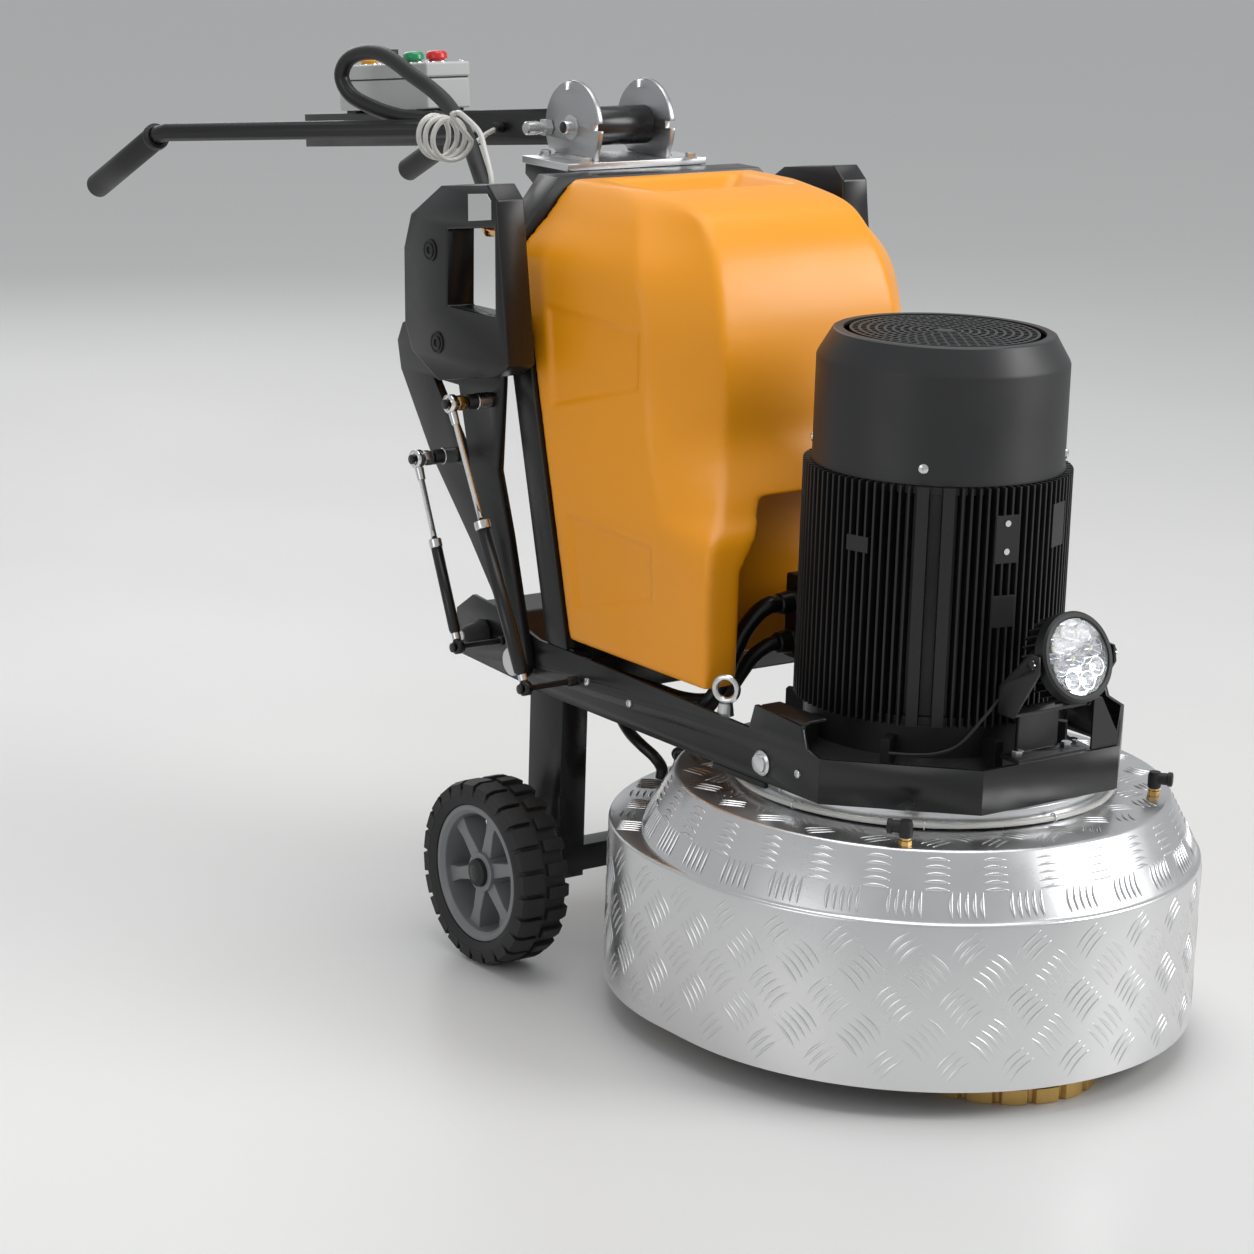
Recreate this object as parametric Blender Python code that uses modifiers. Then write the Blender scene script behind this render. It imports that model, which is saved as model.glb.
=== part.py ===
"""Walk-behind planetary floor grinder, modelled as an assembly of separate parts.

Units are metres and +Z is up. Positions are written from the grinding head's axis:
x runs forward from it, y to the machine's left, and z up from the floor. One empty,
machine_origin, then puts the middle of the machine's footprint on the world origin.
"""
import math

import bmesh
import bpy
from mathutils import Matrix, Vector

# ---- driving dimensions -------------------------------------------------------------
SKIRT_R = 0.360             # front radius of the dust skirt
SKIRT_REAR = 0.065          # how far the skirt's rear half is set back
REAR = -1.700               # rearmost point of the grips
GRIP_TIP = (REAR + 0.0068, 0.288, 0.8944)   # middle of a grip's rear end
HEAD_X = -(SKIRT_R + REAR) / 2      # head axis ahead of the footprint's middle
FIT = 0.0003                # gap between touching parts

RAIL_Y = 0.253              # outer face of the frame rails
PLATE = 0.006               # frame plate thickness
RAIL_TOP = 0.408
RAIL_BOTTOM = 0.352

MOTOR_R = 0.169             # over the fins
MOTOR_BASE = 0.434
MOTOR_TOP = 0.734
FAN_COVER_R = 0.158
FAN_COVER_TOP = 0.900
SHAFT_R = 0.025

ORBIT_R = 0.205             # radius on which the grinding spindles sit
HEAD_ANGLE = -8             # degrees, first spindle from straight ahead
TOOL_R = 0.125              # diamond ring
SUN_TEETH = 12
PLANET_TEETH = 18
RING_TEETH = SUN_TEETH + 2 * PLANET_TEETH
MODULE = 2 * ORBIT_R / (SUN_TEETH + PLANET_TEETH)
GEAR_Z = (0.206, 0.224)

WHEEL_X = -0.463
WHEEL_R = 0.125
WHEEL_W = 0.075
WHEEL_Y = 0.340             # middle of the wheel
RIM_R = 0.092
AXLE_R = 0.012

LEAN = math.radians(15.2)   # mast and rear wall of the tank lean back
TANK_Z = 0.436
MAST_TOP = 1.0275

PIVOT = (-0.720, 1.079)     # handle tilt axis, x and z
BOOM_DROP = math.radians(6.3)
BOOM_LENGTH = 0.780
BOOM = 0.050                # boom section
INDEX_R = 0.064

ARM_PIVOT = (-0.530, 0.390)     # weight arm axis, x and z
ARM_Y = (0.2565, 0.2685)        # inner and outer face of a weight arm
SPRING_Y = 0.335                # plane of the gas springs
LONG_SPRING = ((-0.409, 0.388), (-0.600, 0.735))     # lower and upper ball, x and z
SHORT_SPRING = ((-0.570, 0.408), (-0.680, 0.646))

LAMP = (0.262, 0.0, 0.540)
LAMP_TILT = math.radians(20)
LAMP_R = 0.056

# ---- scene and helpers --------------------------------------------------------------
for old in list(bpy.data.objects):
    bpy.data.objects.remove(old, do_unlink=True)

PARTS = bpy.data.collections.new("floor_grinder")
CUTTERS = bpy.data.collections.new("cutters")
bpy.context.scene.collection.children.link(PARTS)
bpy.context.scene.collection.children.link(CUTTERS)

ORIGIN = bpy.data.objects.new("machine_origin", None)
ORIGIN.location = (HEAD_X, 0, 0)
PARTS.objects.link(ORIGIN)

SIDES = (("right", -1), ("left", 1))


def make_material(name, colour, roughness, metallic):
    material = bpy.data.materials.new(name)
    material.use_nodes = True
    shader = material.node_tree.nodes["Principled BSDF"]
    shader.inputs["Base Color"].default_value = (*colour, 1)
    shader.inputs["Roughness"].default_value = roughness
    shader.inputs["Metallic"].default_value = metallic
    material.diffuse_color = (*colour, 1)
    return material


BLACK = make_material("black_paint", (0.012, 0.012, 0.013), 0.35, 0.0)
CAST_BLACK = make_material("motor_black", (0.015, 0.015, 0.016), 0.5, 0.0)
ORANGE = make_material("tank_orange", (0.87, 0.36, 0.01), 0.4, 0.0)
TREAD = make_material("tread_plate", (0.72, 0.73, 0.74), 0.3, 1.0)
ALUMINIUM = make_material("aluminium", (0.78, 0.79, 0.80), 0.35, 1.0)
STEEL = make_material("steel", (0.55, 0.56, 0.57), 0.35, 1.0)
CHROME = make_material("chrome", (0.8, 0.8, 0.8), 0.12, 1.0)
RUBBER = make_material("rubber", (0.02, 0.02, 0.02), 0.75, 0.0)
RIM_GREY = make_material("rim_grey", (0.16, 0.165, 0.17), 0.45, 0.0)
BOX_GREY = make_material("box_grey", (0.55, 0.56, 0.56), 0.5, 0.0)
GOLD = make_material("diamond_gold", (0.65, 0.42, 0.12), 0.4, 1.0)
GLASS = make_material("lamp_glass", (0.8, 0.85, 0.87), 0.1, 0.0)
RED = make_material("button_red", (0.6, 0.02, 0.02), 0.35, 0.0)
GREEN = make_material("button_green", (0.01, 0.32, 0.1), 0.35, 0.0)
YELLOW = make_material("button_yellow", (0.85, 0.42, 0.02), 0.35, 0.0)
COPPER = make_material("winding_copper", (0.6, 0.25, 0.12), 0.4, 1.0)
IRON = make_material("cast_iron", (0.2, 0.2, 0.2), 0.6, 0.8)
CLEAR = make_material("clear_hose", (0.75, 0.74, 0.70), 0.15, 0.0)


def add(obj, name, material, collection=PARTS):
    """Name an object, give it its material and hang it on the machine's origin."""
    obj.name = name
    obj.data.name = name
    obj.data.materials.clear()
    obj.data.materials.append(material)
    for old in list(obj.users_collection):
        old.objects.unlink(obj)
    collection.objects.link(obj)
    obj.parent = ORIGIN
    return obj


def from_bmesh(bm, name, material):
    bmesh.ops.recalc_face_normals(bm, faces=bm.faces)
    mesh = bpy.data.meshes.new(name)
    bm.to_mesh(mesh)
    bm.free()
    return add(bpy.data.objects.new(name, mesh), name, material)


def box(name, low, high, material, bevel=0.0):
    """A block between two corners."""
    bm = bmesh.new()
    size = [h - l for l, h in zip(low, high)]
    middle = [(h + l) / 2 for l, h in zip(low, high)]
    bmesh.ops.create_cube(bm, size=1.0)
    bmesh.ops.scale(bm, vec=size, verts=bm.verts)
    obj = from_bmesh(bm, name, material)
    obj.location = middle
    if bevel:
        edge = obj.modifiers.new("rounded", "BEVEL")
        edge.width = bevel
        edge.segments = 1
    return obj


def cylinder(name, radius, length, material, centre=(0, 0, 0), axis="Z", segments=24):
    bm = bmesh.new()
    bmesh.ops.create_cone(bm, cap_ends=True, segments=segments, radius1=radius,
                          radius2=radius, depth=length)
    obj = from_bmesh(bm, name, material)
    obj.location = centre
    obj.rotation_euler = {"X": (0, math.pi / 2, 0), "Y": (math.pi / 2, 0, 0),
                          "Z": (0, 0, 0)}[axis]
    return obj


def turned(name, profile, material, steps=48, closed=False, axis="Z", centre=(0, 0, 0)):
    """A Screw profile of (radius, height), running down its outer side."""
    mesh = bpy.data.meshes.new(name)
    verts = [(r, 0, z) for r, z in profile]
    edges = [(i, i + 1) for i in range(len(profile) - 1)]
    if closed:
        edges.append((len(profile) - 1, 0))
    mesh.from_pydata(verts, edges, [])
    obj = add(bpy.data.objects.new(name, mesh), name, material)
    screw = obj.modifiers.new("turn", "SCREW")
    screw.steps = steps
    screw.render_steps = steps
    screw.use_merge_vertices = True
    screw.merge_threshold = 0.0001
    obj.location = centre
    if axis == "Y":
        obj.rotation_euler = (math.pi / 2, 0, 0)
    return obj


def plate(name, outline, thickness, material, holes=(), plane="XY", at=0.0):
    """A flat outline with holes, filled on both sides; its middle lies at `at`."""
    curve = bpy.data.curves.new(name, "CURVE")
    curve.dimensions = "2D"
    curve.fill_mode = "BOTH"
    curve.extrude = thickness / 2
    for ring in (outline, *holes):
        spline = curve.splines.new("POLY")
        spline.points.add(len(ring) - 1)
        for point, (a, b) in zip(spline.points, ring):
            point.co = (a, b, 0, 1)
        spline.use_cyclic_u = True
    obj = add(bpy.data.objects.new(name, curve), name, material)
    if plane == "XY":
        obj.location = (0, 0, at)
    elif plane == "XZ":
        obj.rotation_euler = (math.pi / 2, 0, 0)
        obj.location = (0, at, 0)
    else:
        obj.rotation_euler = (math.pi / 2, 0, math.pi / 2)
        obj.location = (at, 0, 0)
    return obj


def circle(centre, radius, count=24, start=0.0):
    return [(centre[0] + radius * math.cos(start + 2 * math.pi * i / count),
             centre[1] + radius * math.sin(start + 2 * math.pi * i / count))
            for i in range(count)]


def arc(centre, radius, first, last, count):
    """Points on an arc, both ends included, angles in degrees."""
    turn = [math.radians(first + (last - first) * i / (count - 1)) for i in range(count)]
    return [(centre[0] + radius * math.cos(t), centre[1] + radius * math.sin(t)) for t in turn]


def tube(name, points, radius, material, resolution=2):
    curve = bpy.data.curves.new(name, "CURVE")
    curve.dimensions = "3D"
    curve.bevel_depth = radius
    curve.bevel_resolution = resolution
    curve.use_fill_caps = True
    spline = curve.splines.new("POLY")
    spline.points.add(len(points) - 1)
    for point, place in zip(spline.points, points):
        point.co = (*place, 1)
    return add(bpy.data.objects.new(name, curve), name, material)


def smooth_route(points, steps=3):
    """Points read from a smooth curve through the route's own points."""
    path = [Vector(p) for p in points]
    path = [2 * path[0] - path[1], *path, 2 * path[-1] - path[-2]]
    out = []
    for a, b, c, d in zip(path, path[1:], path[2:], path[3:]):
        for i in range(steps):
            t = i / steps
            out.append(0.5 * (2 * b + (c - a) * t + (2 * a - 5 * b + 4 * c - d) * t * t
                              + (3 * b - a - 3 * c + d) * t ** 3))
    out.append(path[-2])
    return out


def as_mesh(obj):
    """Turn an object with its modifiers, curve or mesh, into a plain mesh object."""
    bpy.context.view_layer.update()
    evaluated = obj.evaluated_get(bpy.context.evaluated_depsgraph_get())
    mesh = bpy.data.meshes.new_from_object(evaluated)
    bm = bmesh.new()
    bm.from_mesh(mesh)
    bmesh.ops.remove_doubles(bm, verts=bm.verts, dist=0.00002)
    bmesh.ops.recalc_face_normals(bm, faces=bm.faces)
    bm.to_mesh(mesh)
    bm.free()
    name, material = obj.name, obj.data.materials[0]
    matrix = ORIGIN.matrix_world.inverted() @ obj.matrix_world
    bpy.data.objects.remove(obj, do_unlink=True)
    mesh.transform(matrix)
    return add(bpy.data.objects.new(name, mesh), name, material)


def combine(obj, others, operation):
    """Join or cut with other objects, which are used up."""
    obj = as_mesh(obj)
    for other in others:
        other = as_mesh(other)
        step = obj.modifiers.new(operation.lower(), "BOOLEAN")
        step.operation = operation
        step.solver = "EXACT"
        step.object = other
        name, material = obj.name, obj.data.materials[0]
        bpy.context.view_layer.update()
        evaluated = obj.evaluated_get(bpy.context.evaluated_depsgraph_get())
        mesh = bpy.data.meshes.new_from_object(evaluated)
        bpy.data.objects.remove(obj, do_unlink=True)
        bpy.data.objects.remove(other, do_unlink=True)
        obj = add(bpy.data.objects.new(name, mesh), name, material)
    return obj


def join(obj, *others):
    return combine(obj, others, "UNION")


def cut(obj, *others):
    return combine(obj, others, "DIFFERENCE")


def set_origin(obj, place):
    """Move a mesh object's own origin to its joint axis, leaving its shape in place."""
    obj = as_mesh(obj)
    obj.data.transform(Matrix.Translation(-Vector(place)))
    obj.location = place
    return obj


def loft(name, rings, material, close_ends=True):
    """Skin rings that have the same number of points."""
    bm = bmesh.new()
    loops = [[bm.verts.new(p) for p in ring] for ring in rings]
    count = len(loops[0])
    for low, high in zip(loops, loops[1:]):
        for i in range(count):
            j = (i + 1) % count
            bm.faces.new((low[i], low[j], high[j], high[i]))
    if close_ends:
        bm.faces.new(loops[0])
        bm.faces.new(loops[-1])
    return from_bmesh(bm, name, material)


# ---- chassis: rails, beams, mast -----------------------------------------------------
def stud(name, x, z, side, boss_r=0.0065):
    """A ball stud on a rail: a boss, a pin through the spring's eye and a round head."""
    y = RAIL_Y
    parts = [cylinder(name, boss_r, 0.016, STEEL, (x, side * (y + 0.0075), z), "Y", 12),
             cylinder(name, 0.004, 0.092, STEEL, (x, side * (y + 0.0450), z), "Y", 12),
             cylinder(name, 0.0065, 0.004, STEEL, (x, side * (y + 0.0910), z), "Y", 12)]
    return parts


def rails():
    outline = [(-0.700, 0.363), (-0.470, RAIL_BOTTOM), (0.100, RAIL_BOTTOM),
               (0.100, RAIL_TOP), (0.072, 0.414), (0.060, 0.440), (-0.030, 0.446),
               (-0.040, 0.414), (-0.430, 0.423), (-0.500, 0.423), (-0.600, 0.446), (-0.660, 0.452),
               (-0.700, 0.425)]
    for word, side in SIDES:
        rail = plate("rail_" + word, outline, PLATE, BLACK,
                     holes=[circle((-0.010, 0.376), 0.0125, 16)],
                     plane="XZ", at=side * (RAIL_Y - PLATE / 2))
        pieces = stud("rail_stud", *LONG_SPRING[0], side)
        pieces += stud("rail_stud", *SHORT_SPRING[0], side)
        trunnion = cylinder("arm_trunnion", 0.0098, 0.015, STEEL,
                            (ARM_PIVOT[0], side * (RAIL_Y + 0.0065), ARM_PIVOT[1]), "Y", 16)
        join(rail, trunnion, *pieces)


def front_tray():
    """The frame's folded front, chamfered at both corners, and the lamp's bracket."""
    inner = RAIL_Y - PLATE
    outer_line = [(0.1003, -RAIL_Y), (0.239, -0.112), (0.239, 0.112), (0.1003, RAIL_Y)]
    inner_line = [(0.1003, inner), (0.233, 0.109), (0.233, -0.109), (0.1003, -inner)]
    tray = plate("front_tray", outer_line + inner_line, RAIL_TOP - RAIL_BOTTOM, BLACK,
                 at=(RAIL_TOP + RAIL_BOTTOM) / 2)
    shelf = box("lamp_shelf", (0.204, -0.055, 0.4075), (0.2385, 0.055, 0.413), BLACK)
    upright = box("lamp_upright", (0.204, -0.032, 0.412), (0.211, 0.032, 0.466), BLACK)
    cheek = [(0.2045, 0.465), (0.232, 0.465), (LAMP[0] + 0.011, LAMP[2] - 0.010),
             (LAMP[0] + 0.007, LAMP[2] + 0.010), (LAMP[0] - 0.008, LAMP[2] + 0.011),
             (0.2045, 0.500)]
    cheeks = []
    for _, side in SIDES:
        cheeks.append(plate("lamp_cheek", cheek, 0.004, BLACK, plane="XZ",
                            at=side * (LAMP_R + 0.0055)))
        cheeks.append(cylinder("lamp_bolt", 0.006, 0.012, STEEL,
                               (LAMP[0], side * (LAMP_R + 0.0065), LAMP[2]), "Y", 12))
    yoke = box("lamp_yoke", (0.204, -LAMP_R - 0.0075, 0.4655), (0.231, LAMP_R + 0.0075, 0.4695),
               BLACK)
    join(tray, shelf, upright, yoke, *cheeks)


def cross_beams():
    y = RAIL_Y - PLATE - FIT
    beam = box("rear_crossbeam", (-0.470, -y, 0.360), (-0.420, y, 0.412), BLACK, 0.003)
    saddle = box("tank_saddle", (-0.468, -0.219, 0.400), (-0.422, 0.219, TANK_Z - FIT), BLACK)
    join(beam, saddle)
    post_z = RAIL_BOTTOM - FIT
    axle = box("wheel_frame", (WHEEL_X - 0.018, -0.250, 0.107), (WHEEL_X + 0.018, 0.250, 0.143),
               BLACK)
    posts = [box("post", (-0.520, min(side * 0.250, side * 0.208), 0.100),
                 (-0.445, max(side * 0.250, side * 0.208), post_z), BLACK) for _, side in SIDES]
    stub = cylinder("stub_axle", AXLE_R, 2 * (WHEEL_Y + 0.034), STEEL,
                    (WHEEL_X, 0, WHEEL_R), "Y", 20)
    join(axle, stub, *posts)


def mast():
    """Two posts and a top plate that lean back with the tank's rear wall."""
    slope = math.tan(LEAN)
    depth = 0.047

    def back(z):
        return -0.4385 - slope * (z - TANK_Z)

    low, high = 0.423 + FIT, 0.928
    for word, side in SIDES:
        foot, head = back(low), back(high)
        outline = [(foot, low), (head, high), (head - depth, high), (foot - depth, low)]
        plate("mast_post_" + word, outline, 0.030, BLACK, plane="XZ",
              at=side * (RAIL_Y - 0.0150 - 0.0003))
    base = high + FIT
    rings = []
    for offset in (0.0, -depth):
        rings.append([(back(z) + offset, y, z) for y, z in
                      [(-0.2527, base), (-0.2527, 0.945), (-0.170, MAST_TOP), (0.170, MAST_TOP),
                       (0.2527, 0.945), (0.2527, base)]])
    bar = loft("mast_top_bar", rings, BLACK)
    shoulder = [(-0.602, MAST_TOP), (-0.765, MAST_TOP), (-0.765, 1.012), (-0.650, 0.945),
                (-0.600, 0.945)]
    head_plate = plate("mast_head", shoulder, 0.220, BLACK, plane="XZ", at=0.0)
    tap = cylinder("water_tap", 0.0075, 0.070, STEEL, (-0.656, -0.222, 0.952), "X", 16)
    outlet = cylinder("tap_outlet", 0.006, 0.013, STEEL, (-0.683, -0.222, 0.9595), "Z", 16)
    join(bar, head_plate, tap, outlet)


def tank():
    """A moulded water tank: lofted outside, hollow, with a motor recess and a top scoop."""
    stations = [
        # z, rear x and half width, crease x and half width, front x and half width
        (TANK_Z, -0.438, 0.2500, -0.236, 0.2500, -0.138, 0.2495),
        (0.600, -0.482, 0.2500, -0.240, 0.2500, -0.140, 0.2495),
        (0.650, -0.496, 0.2500, -0.262, 0.2420, -0.175, 0.205),
        (0.720, -0.515, 0.2500, -0.300, 0.2280, -0.232, 0.158),
        (0.780, -0.531, 0.2500, -0.322, 0.2190, -0.247, 0.146),
        (0.874, -0.556, 0.2500, -0.338, 0.2165, -0.262, 0.145),
        (0.936, -0.573, 0.2500, -0.362, 0.2110, -0.283, 0.139),
        (0.983, -0.586, 0.2000, -0.400, 0.1850, -0.313, 0.131),
        (1.012, -0.593, 0.1690, -0.440, 0.1600, -0.354, 0.128),
        (1.0265, -0.597, 0.1500, -0.500, 0.1450, -0.440, 0.122),
    ]

    def section(z, rear, half, crease, crease_half, front, front_half, inset=0.0):
        right = [(rear + inset, 0), (rear + inset, half - inset),
                 (crease, crease_half - inset), (front - inset, front_half - inset),
                 (front - inset, 0)]
        left = [(x, -y) for x, y in right[-2:0:-1]]
        return [(x, y, z) for x, y in right + left]

    body = loft("water_tank", [section(*s) for s in stations], ORANGE)
    wall = 0.006
    inside = [section(*s, inset=wall) for s in stations[:-1]]
    inside[0] = [(x, y, TANK_Z + wall) for x, y, _ in inside[0]]
    cavity = loft("cavity", inside, ORANGE)

    def recess(name, grow):
        """The space at the front that clears the motor; the cavity keeps a wall round it."""
        half, top = 0.195 + grow, 0.665 + grow
        outline = [(-half, 0.40), (half, 0.40), (half, 0.586), (0.125 + grow, top),
                   (-0.125 - grow, top), (-half, 0.586)]
        return plate(name, outline, 0.24 + 2 * grow, ORANGE, plane="YZ", at=-0.150)

    def scoop(name, grow):
        bm = bmesh.new()
        bmesh.ops.create_cone(bm, cap_ends=True, segments=4, radius1=0.42 * math.sqrt(0.5),
                              radius2=1.0 * math.sqrt(0.5), depth=1.0)
        bmesh.ops.rotate(bm, verts=bm.verts, matrix=Matrix.Rotation(math.pi / 4, 3, "Z"))
        bmesh.ops.scale(bm, verts=bm.verts,
                        vec=(0.135 + 2 * grow, 0.235 + 2 * grow, 0.050 + grow))
        pan = from_bmesh(bm, name, ORANGE)
        pan.location = (-0.5075, 0, 1.0015 + 0.002 - grow / 2)
        return pan

    cavity = cut(cavity, recess("recess_wall", wall), scoop("scoop_wall", wall))
    filler = cylinder("filler_hole", 0.022, 0.08, ORANGE, (-0.505, 0, 0.965))
    body = cut(body, recess("motor_recess", 0.0), scoop("top_scoop", 0.0))
    cut(body, cavity, filler)


# ---- handle tilt plates --------------------------------------------------------------
def index_plates():
    base_z = MAST_TOP + FIT
    box("index_base_plate", (-0.762, -0.118, base_z), (-0.652, 0.118, base_z + 0.010), ALUMINIUM)
    foot = base_z + 0.010 + FIT
    x, z = PIVOT

    def notch(angle):
        """A slot of 10 mm cut into the rim at this angle."""
        t = math.radians(angle)
        out = Vector((math.cos(t), math.sin(t)))
        across = Vector((-out.y, out.x)) * 0.005
        rim = INDEX_R - 0.0002
        low = out * (rim - 0.012)
        points = [out * rim + across, low + across, low - across, out * rim - across]
        return [(x + p.x, z + p.y) for p in points]

    left_foot = [(x - 0.034, foot), (x - 0.042, z - 0.034)]
    rim = arc(PIVOT, INDEX_R, 212, 196, 3) + notch(190) + arc(PIVOT, INDEX_R, 180, 112, 8)
    rim += notch(104) + arc(PIVOT, INDEX_R, 96, 14, 10) + notch(5)
    rim += arc(PIVOT, INDEX_R, -4, -28, 4) + [(x + 0.056, foot)]
    outline = left_foot + rim
    for word, side in SIDES:
        plate("index_plate_" + word, outline, 0.008, STEEL, holes=[circle(PIVOT, 0.0085, 16)],
              plane="XZ", at=side * 0.061)


# ---- handle ---------------------------------------------------------------------------
def boom_point(along, lift=0.0):
    """A point on the boom: metres rearward from the pivot, and above its centre line."""
    x = PIVOT[0] - along * math.cos(BOOM_DROP) - lift * math.sin(BOOM_DROP)
    z = PIVOT[1] - along * math.sin(BOOM_DROP) + lift * math.cos(BOOM_DROP)
    return x, z


def tilted_box(name, first, last, bottom, top, half_width, material):
    """A block on the boom, between two distances from the pivot."""
    corners = [boom_point(first, bottom), boom_point(first, top),
               boom_point(last, top), boom_point(last, bottom)]
    return plate(name, corners, 2 * half_width, material, plane="XZ", at=0.0)


def handle():
    half = BOOM / 2
    beam = tilted_box("handle_boom", 0.0, BOOM_LENGTH, -half, half, 0.026, BLACK)
    pivot = cylinder("pivot_tube", 0.027, 0.1130, BLACK, (PIVOT[0], 0, PIVOT[1]), "Y", 24)
    bolt = cylinder("pivot_bolt", 0.008, 0.160, STEEL, (PIVOT[0], 0, PIVOT[1]), "Y", 16)
    fork = boom_point(0.330)
    grip_start = (-1.485, 0.288, 1.000)
    grip_way = (Vector(GRIP_TIP) - Vector(grip_start)).normalized()
    arms = []
    for word, side in SIDES:
        route = [(fork[0], side * 0.020, fork[1]), (grip_start[0] + 0.012, side * 0.281, 1.0025)]
        for along in (0.004, 0.180):
            place = Vector(grip_start) + grip_way * along
            route.append((place.x, side * place.y, place.z))
        arms.append(tube("handlebar", route, 0.014, BLACK, 3))
    gland = cylinder("cable_gland", 0.0125, 0.030, BLACK, (-1.1100, -0.0310, 1.049))
    gland.rotation_euler = Vector((-13.5, -9.1, 0)).to_track_quat("Z", "Y").to_euler()
    join(beam, pivot, bolt, gland, *arms)
    for word, side in SIDES:
        length = (Vector(GRIP_TIP) - Vector(grip_start)).length - 0.016
        shape = [(0.0, length), (0.015, length), (0.019, length - 0.006), (0.019, 0.003),
                 (0.017, 0.0), (0.0147, 0.0), (0.0147, length - 0.012),
                 (0.0, length - 0.012)]
        grip = turned("grip_" + word, shape, RUBBER, 20)
        start = Vector(grip_start) + grip_way * 0.016
        grip.location = (start.x, side * start.y, start.z)
        way = Vector((grip_way.x, side * grip_way.y, grip_way.z))
        grip.rotation_euler = way.to_track_quat("Z", "Y").to_euler()


BOX_SPAN = (0.405, 0.655)       # control box, distances from the pivot
BOX_BASE = BOOM / 2 + 0.004
BOX_HEIGHT = 0.068


def control_station():
    feet = tilted_box("control_box", BOX_SPAN[0], BOX_SPAN[1], BOX_BASE, BOX_BASE + BOX_HEIGHT,
                      0.039, BOX_GREY)
    pad = tilted_box("box_foot", 0.43, 0.63, BOOM / 2 + FIT, BOX_BASE + 0.001, 0.020, BOX_GREY)
    control = join(feet, pad)
    places = [("stop_button", 0.435, RED), ("start_button", 0.498, GREEN),
              ("selector_knob", 0.562, BLACK), ("yellow_button", 0.625, YELLOW)]
    top = BOX_BASE + BOX_HEIGHT
    wells = []
    for name, along, material in places:
        x, z = boom_point(along, top)
        well = cylinder("button_well", 0.0125, 0.024, BOX_GREY, (x, 0, z))
        well.rotation_euler = (0, -BOOM_DROP, 0)
        wells.append(well)
    cut(control, *wells)
    for name, along, material in places:
        x, z = boom_point(along, top)
        stem, cap = 0.0120, (0.016, 0.017)
        base, crown = (0.0045, 0.0175) if name != "selector_knob" else (0.0006, 0.022)
        profile = [(0, crown), (cap[0] - 0.004, crown), (cap[0], crown - 0.003),
                   (cap[1], base), (stem, base), (stem, -0.005), (0, -0.005)]
        button = turned(name, profile, material, 20)
        button.location = (x, 0, z)
        button.rotation_euler = (0, -BOOM_DROP, 0)


def lock_plunger():
    """The pin on the right index plate that locks the boom; it pulls straight out."""
    t = math.radians(186)
    x, z = PIVOT[0] + 0.054 * math.cos(t), PIVOT[1] + 0.054 * math.sin(t)
    pin = turned("lock_plunger", [(0, 0.040), (0.008, 0.040), (0.0095, 0.0385), (0.0095, 0.019),
                                  (0.0075, 0.018), (0.0075, 0.0), (0, 0.0)], STEEL, 20,
                 axis="Y")
    pin.location = (x, -0.0653 - FIT, z)


# ---- weights and gas springs ----------------------------------------------------------
def weight_arm(word, side):
    x, z = ARM_PIVOT
    foot = arc(ARM_PIVOT, 0.026, 190, 380, 9)
    outline = foot + [(-0.556, 0.560), (-0.586, 0.640), (-0.581, 0.760), (-0.583, 0.842),
                      (-0.742, 0.842), (-0.800, 0.818),
                      (-0.826, 0.806), (-0.838, 0.780), (-0.828, 0.742), (-0.745, 0.632),
                      (-0.645, 0.533), (-0.592, 0.475), (-0.556, 0.425)]
    hole = [(-0.745, 0.742), (-0.682, 0.742), (-0.650, 0.635)]
    arm = plate("weight_arm_" + word, outline, ARM_Y[1] - ARM_Y[0], BLACK,
                holes=[circle(ARM_PIVOT, 0.0100, 16), hole], plane="XZ",
                at=side * (ARM_Y[0] + ARM_Y[1]) / 2)
    studs = []
    for px, pz in (LONG_SPRING[1], SHORT_SPRING[1]):
        studs.append(cylinder("stud", 0.0105, 0.042, STEEL, (px, side * 0.2890, pz), "Y", 12))
        studs.append(cylinder("stud", 0.004, 0.080, STEEL, (px, side * 0.3020, pz), "Y", 12))
        studs.append(cylinder("stud", 0.0065, 0.004, STEEL, (px, side * 0.3435, pz), "Y", 12))
    cap = cylinder("cap", 0.020, 0.006, STEEL, (x, side * (ARM_Y[1] + 0.0025), z), "Y", 20)
    arm = join(arm, cap, *studs)
    set_origin(arm, (x, side * ARM_Y[0], z))
    block = [(-0.500, 0.799), (-0.527, 0.965), (-0.534, 1.012), (-0.556, 1.030), (-0.668, 1.016),
             (-0.741, 0.970), (-0.757, 0.922), (-0.752, 0.822), (-0.733, 0.785),
             (-0.665, 0.754), (-0.526, 0.781)]
    grip = [(-0.650, 0.960), (-0.538, 0.976), (-0.532, 0.859), (-0.647, 0.857)]
    mass = plate("weight_" + word, block, 0.044, BLACK, holes=[grip], plane="XZ",
                 at=side * (ARM_Y[1] + FIT + 0.022))
    set_origin(mass, (x, side * ARM_Y[0], z))


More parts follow.
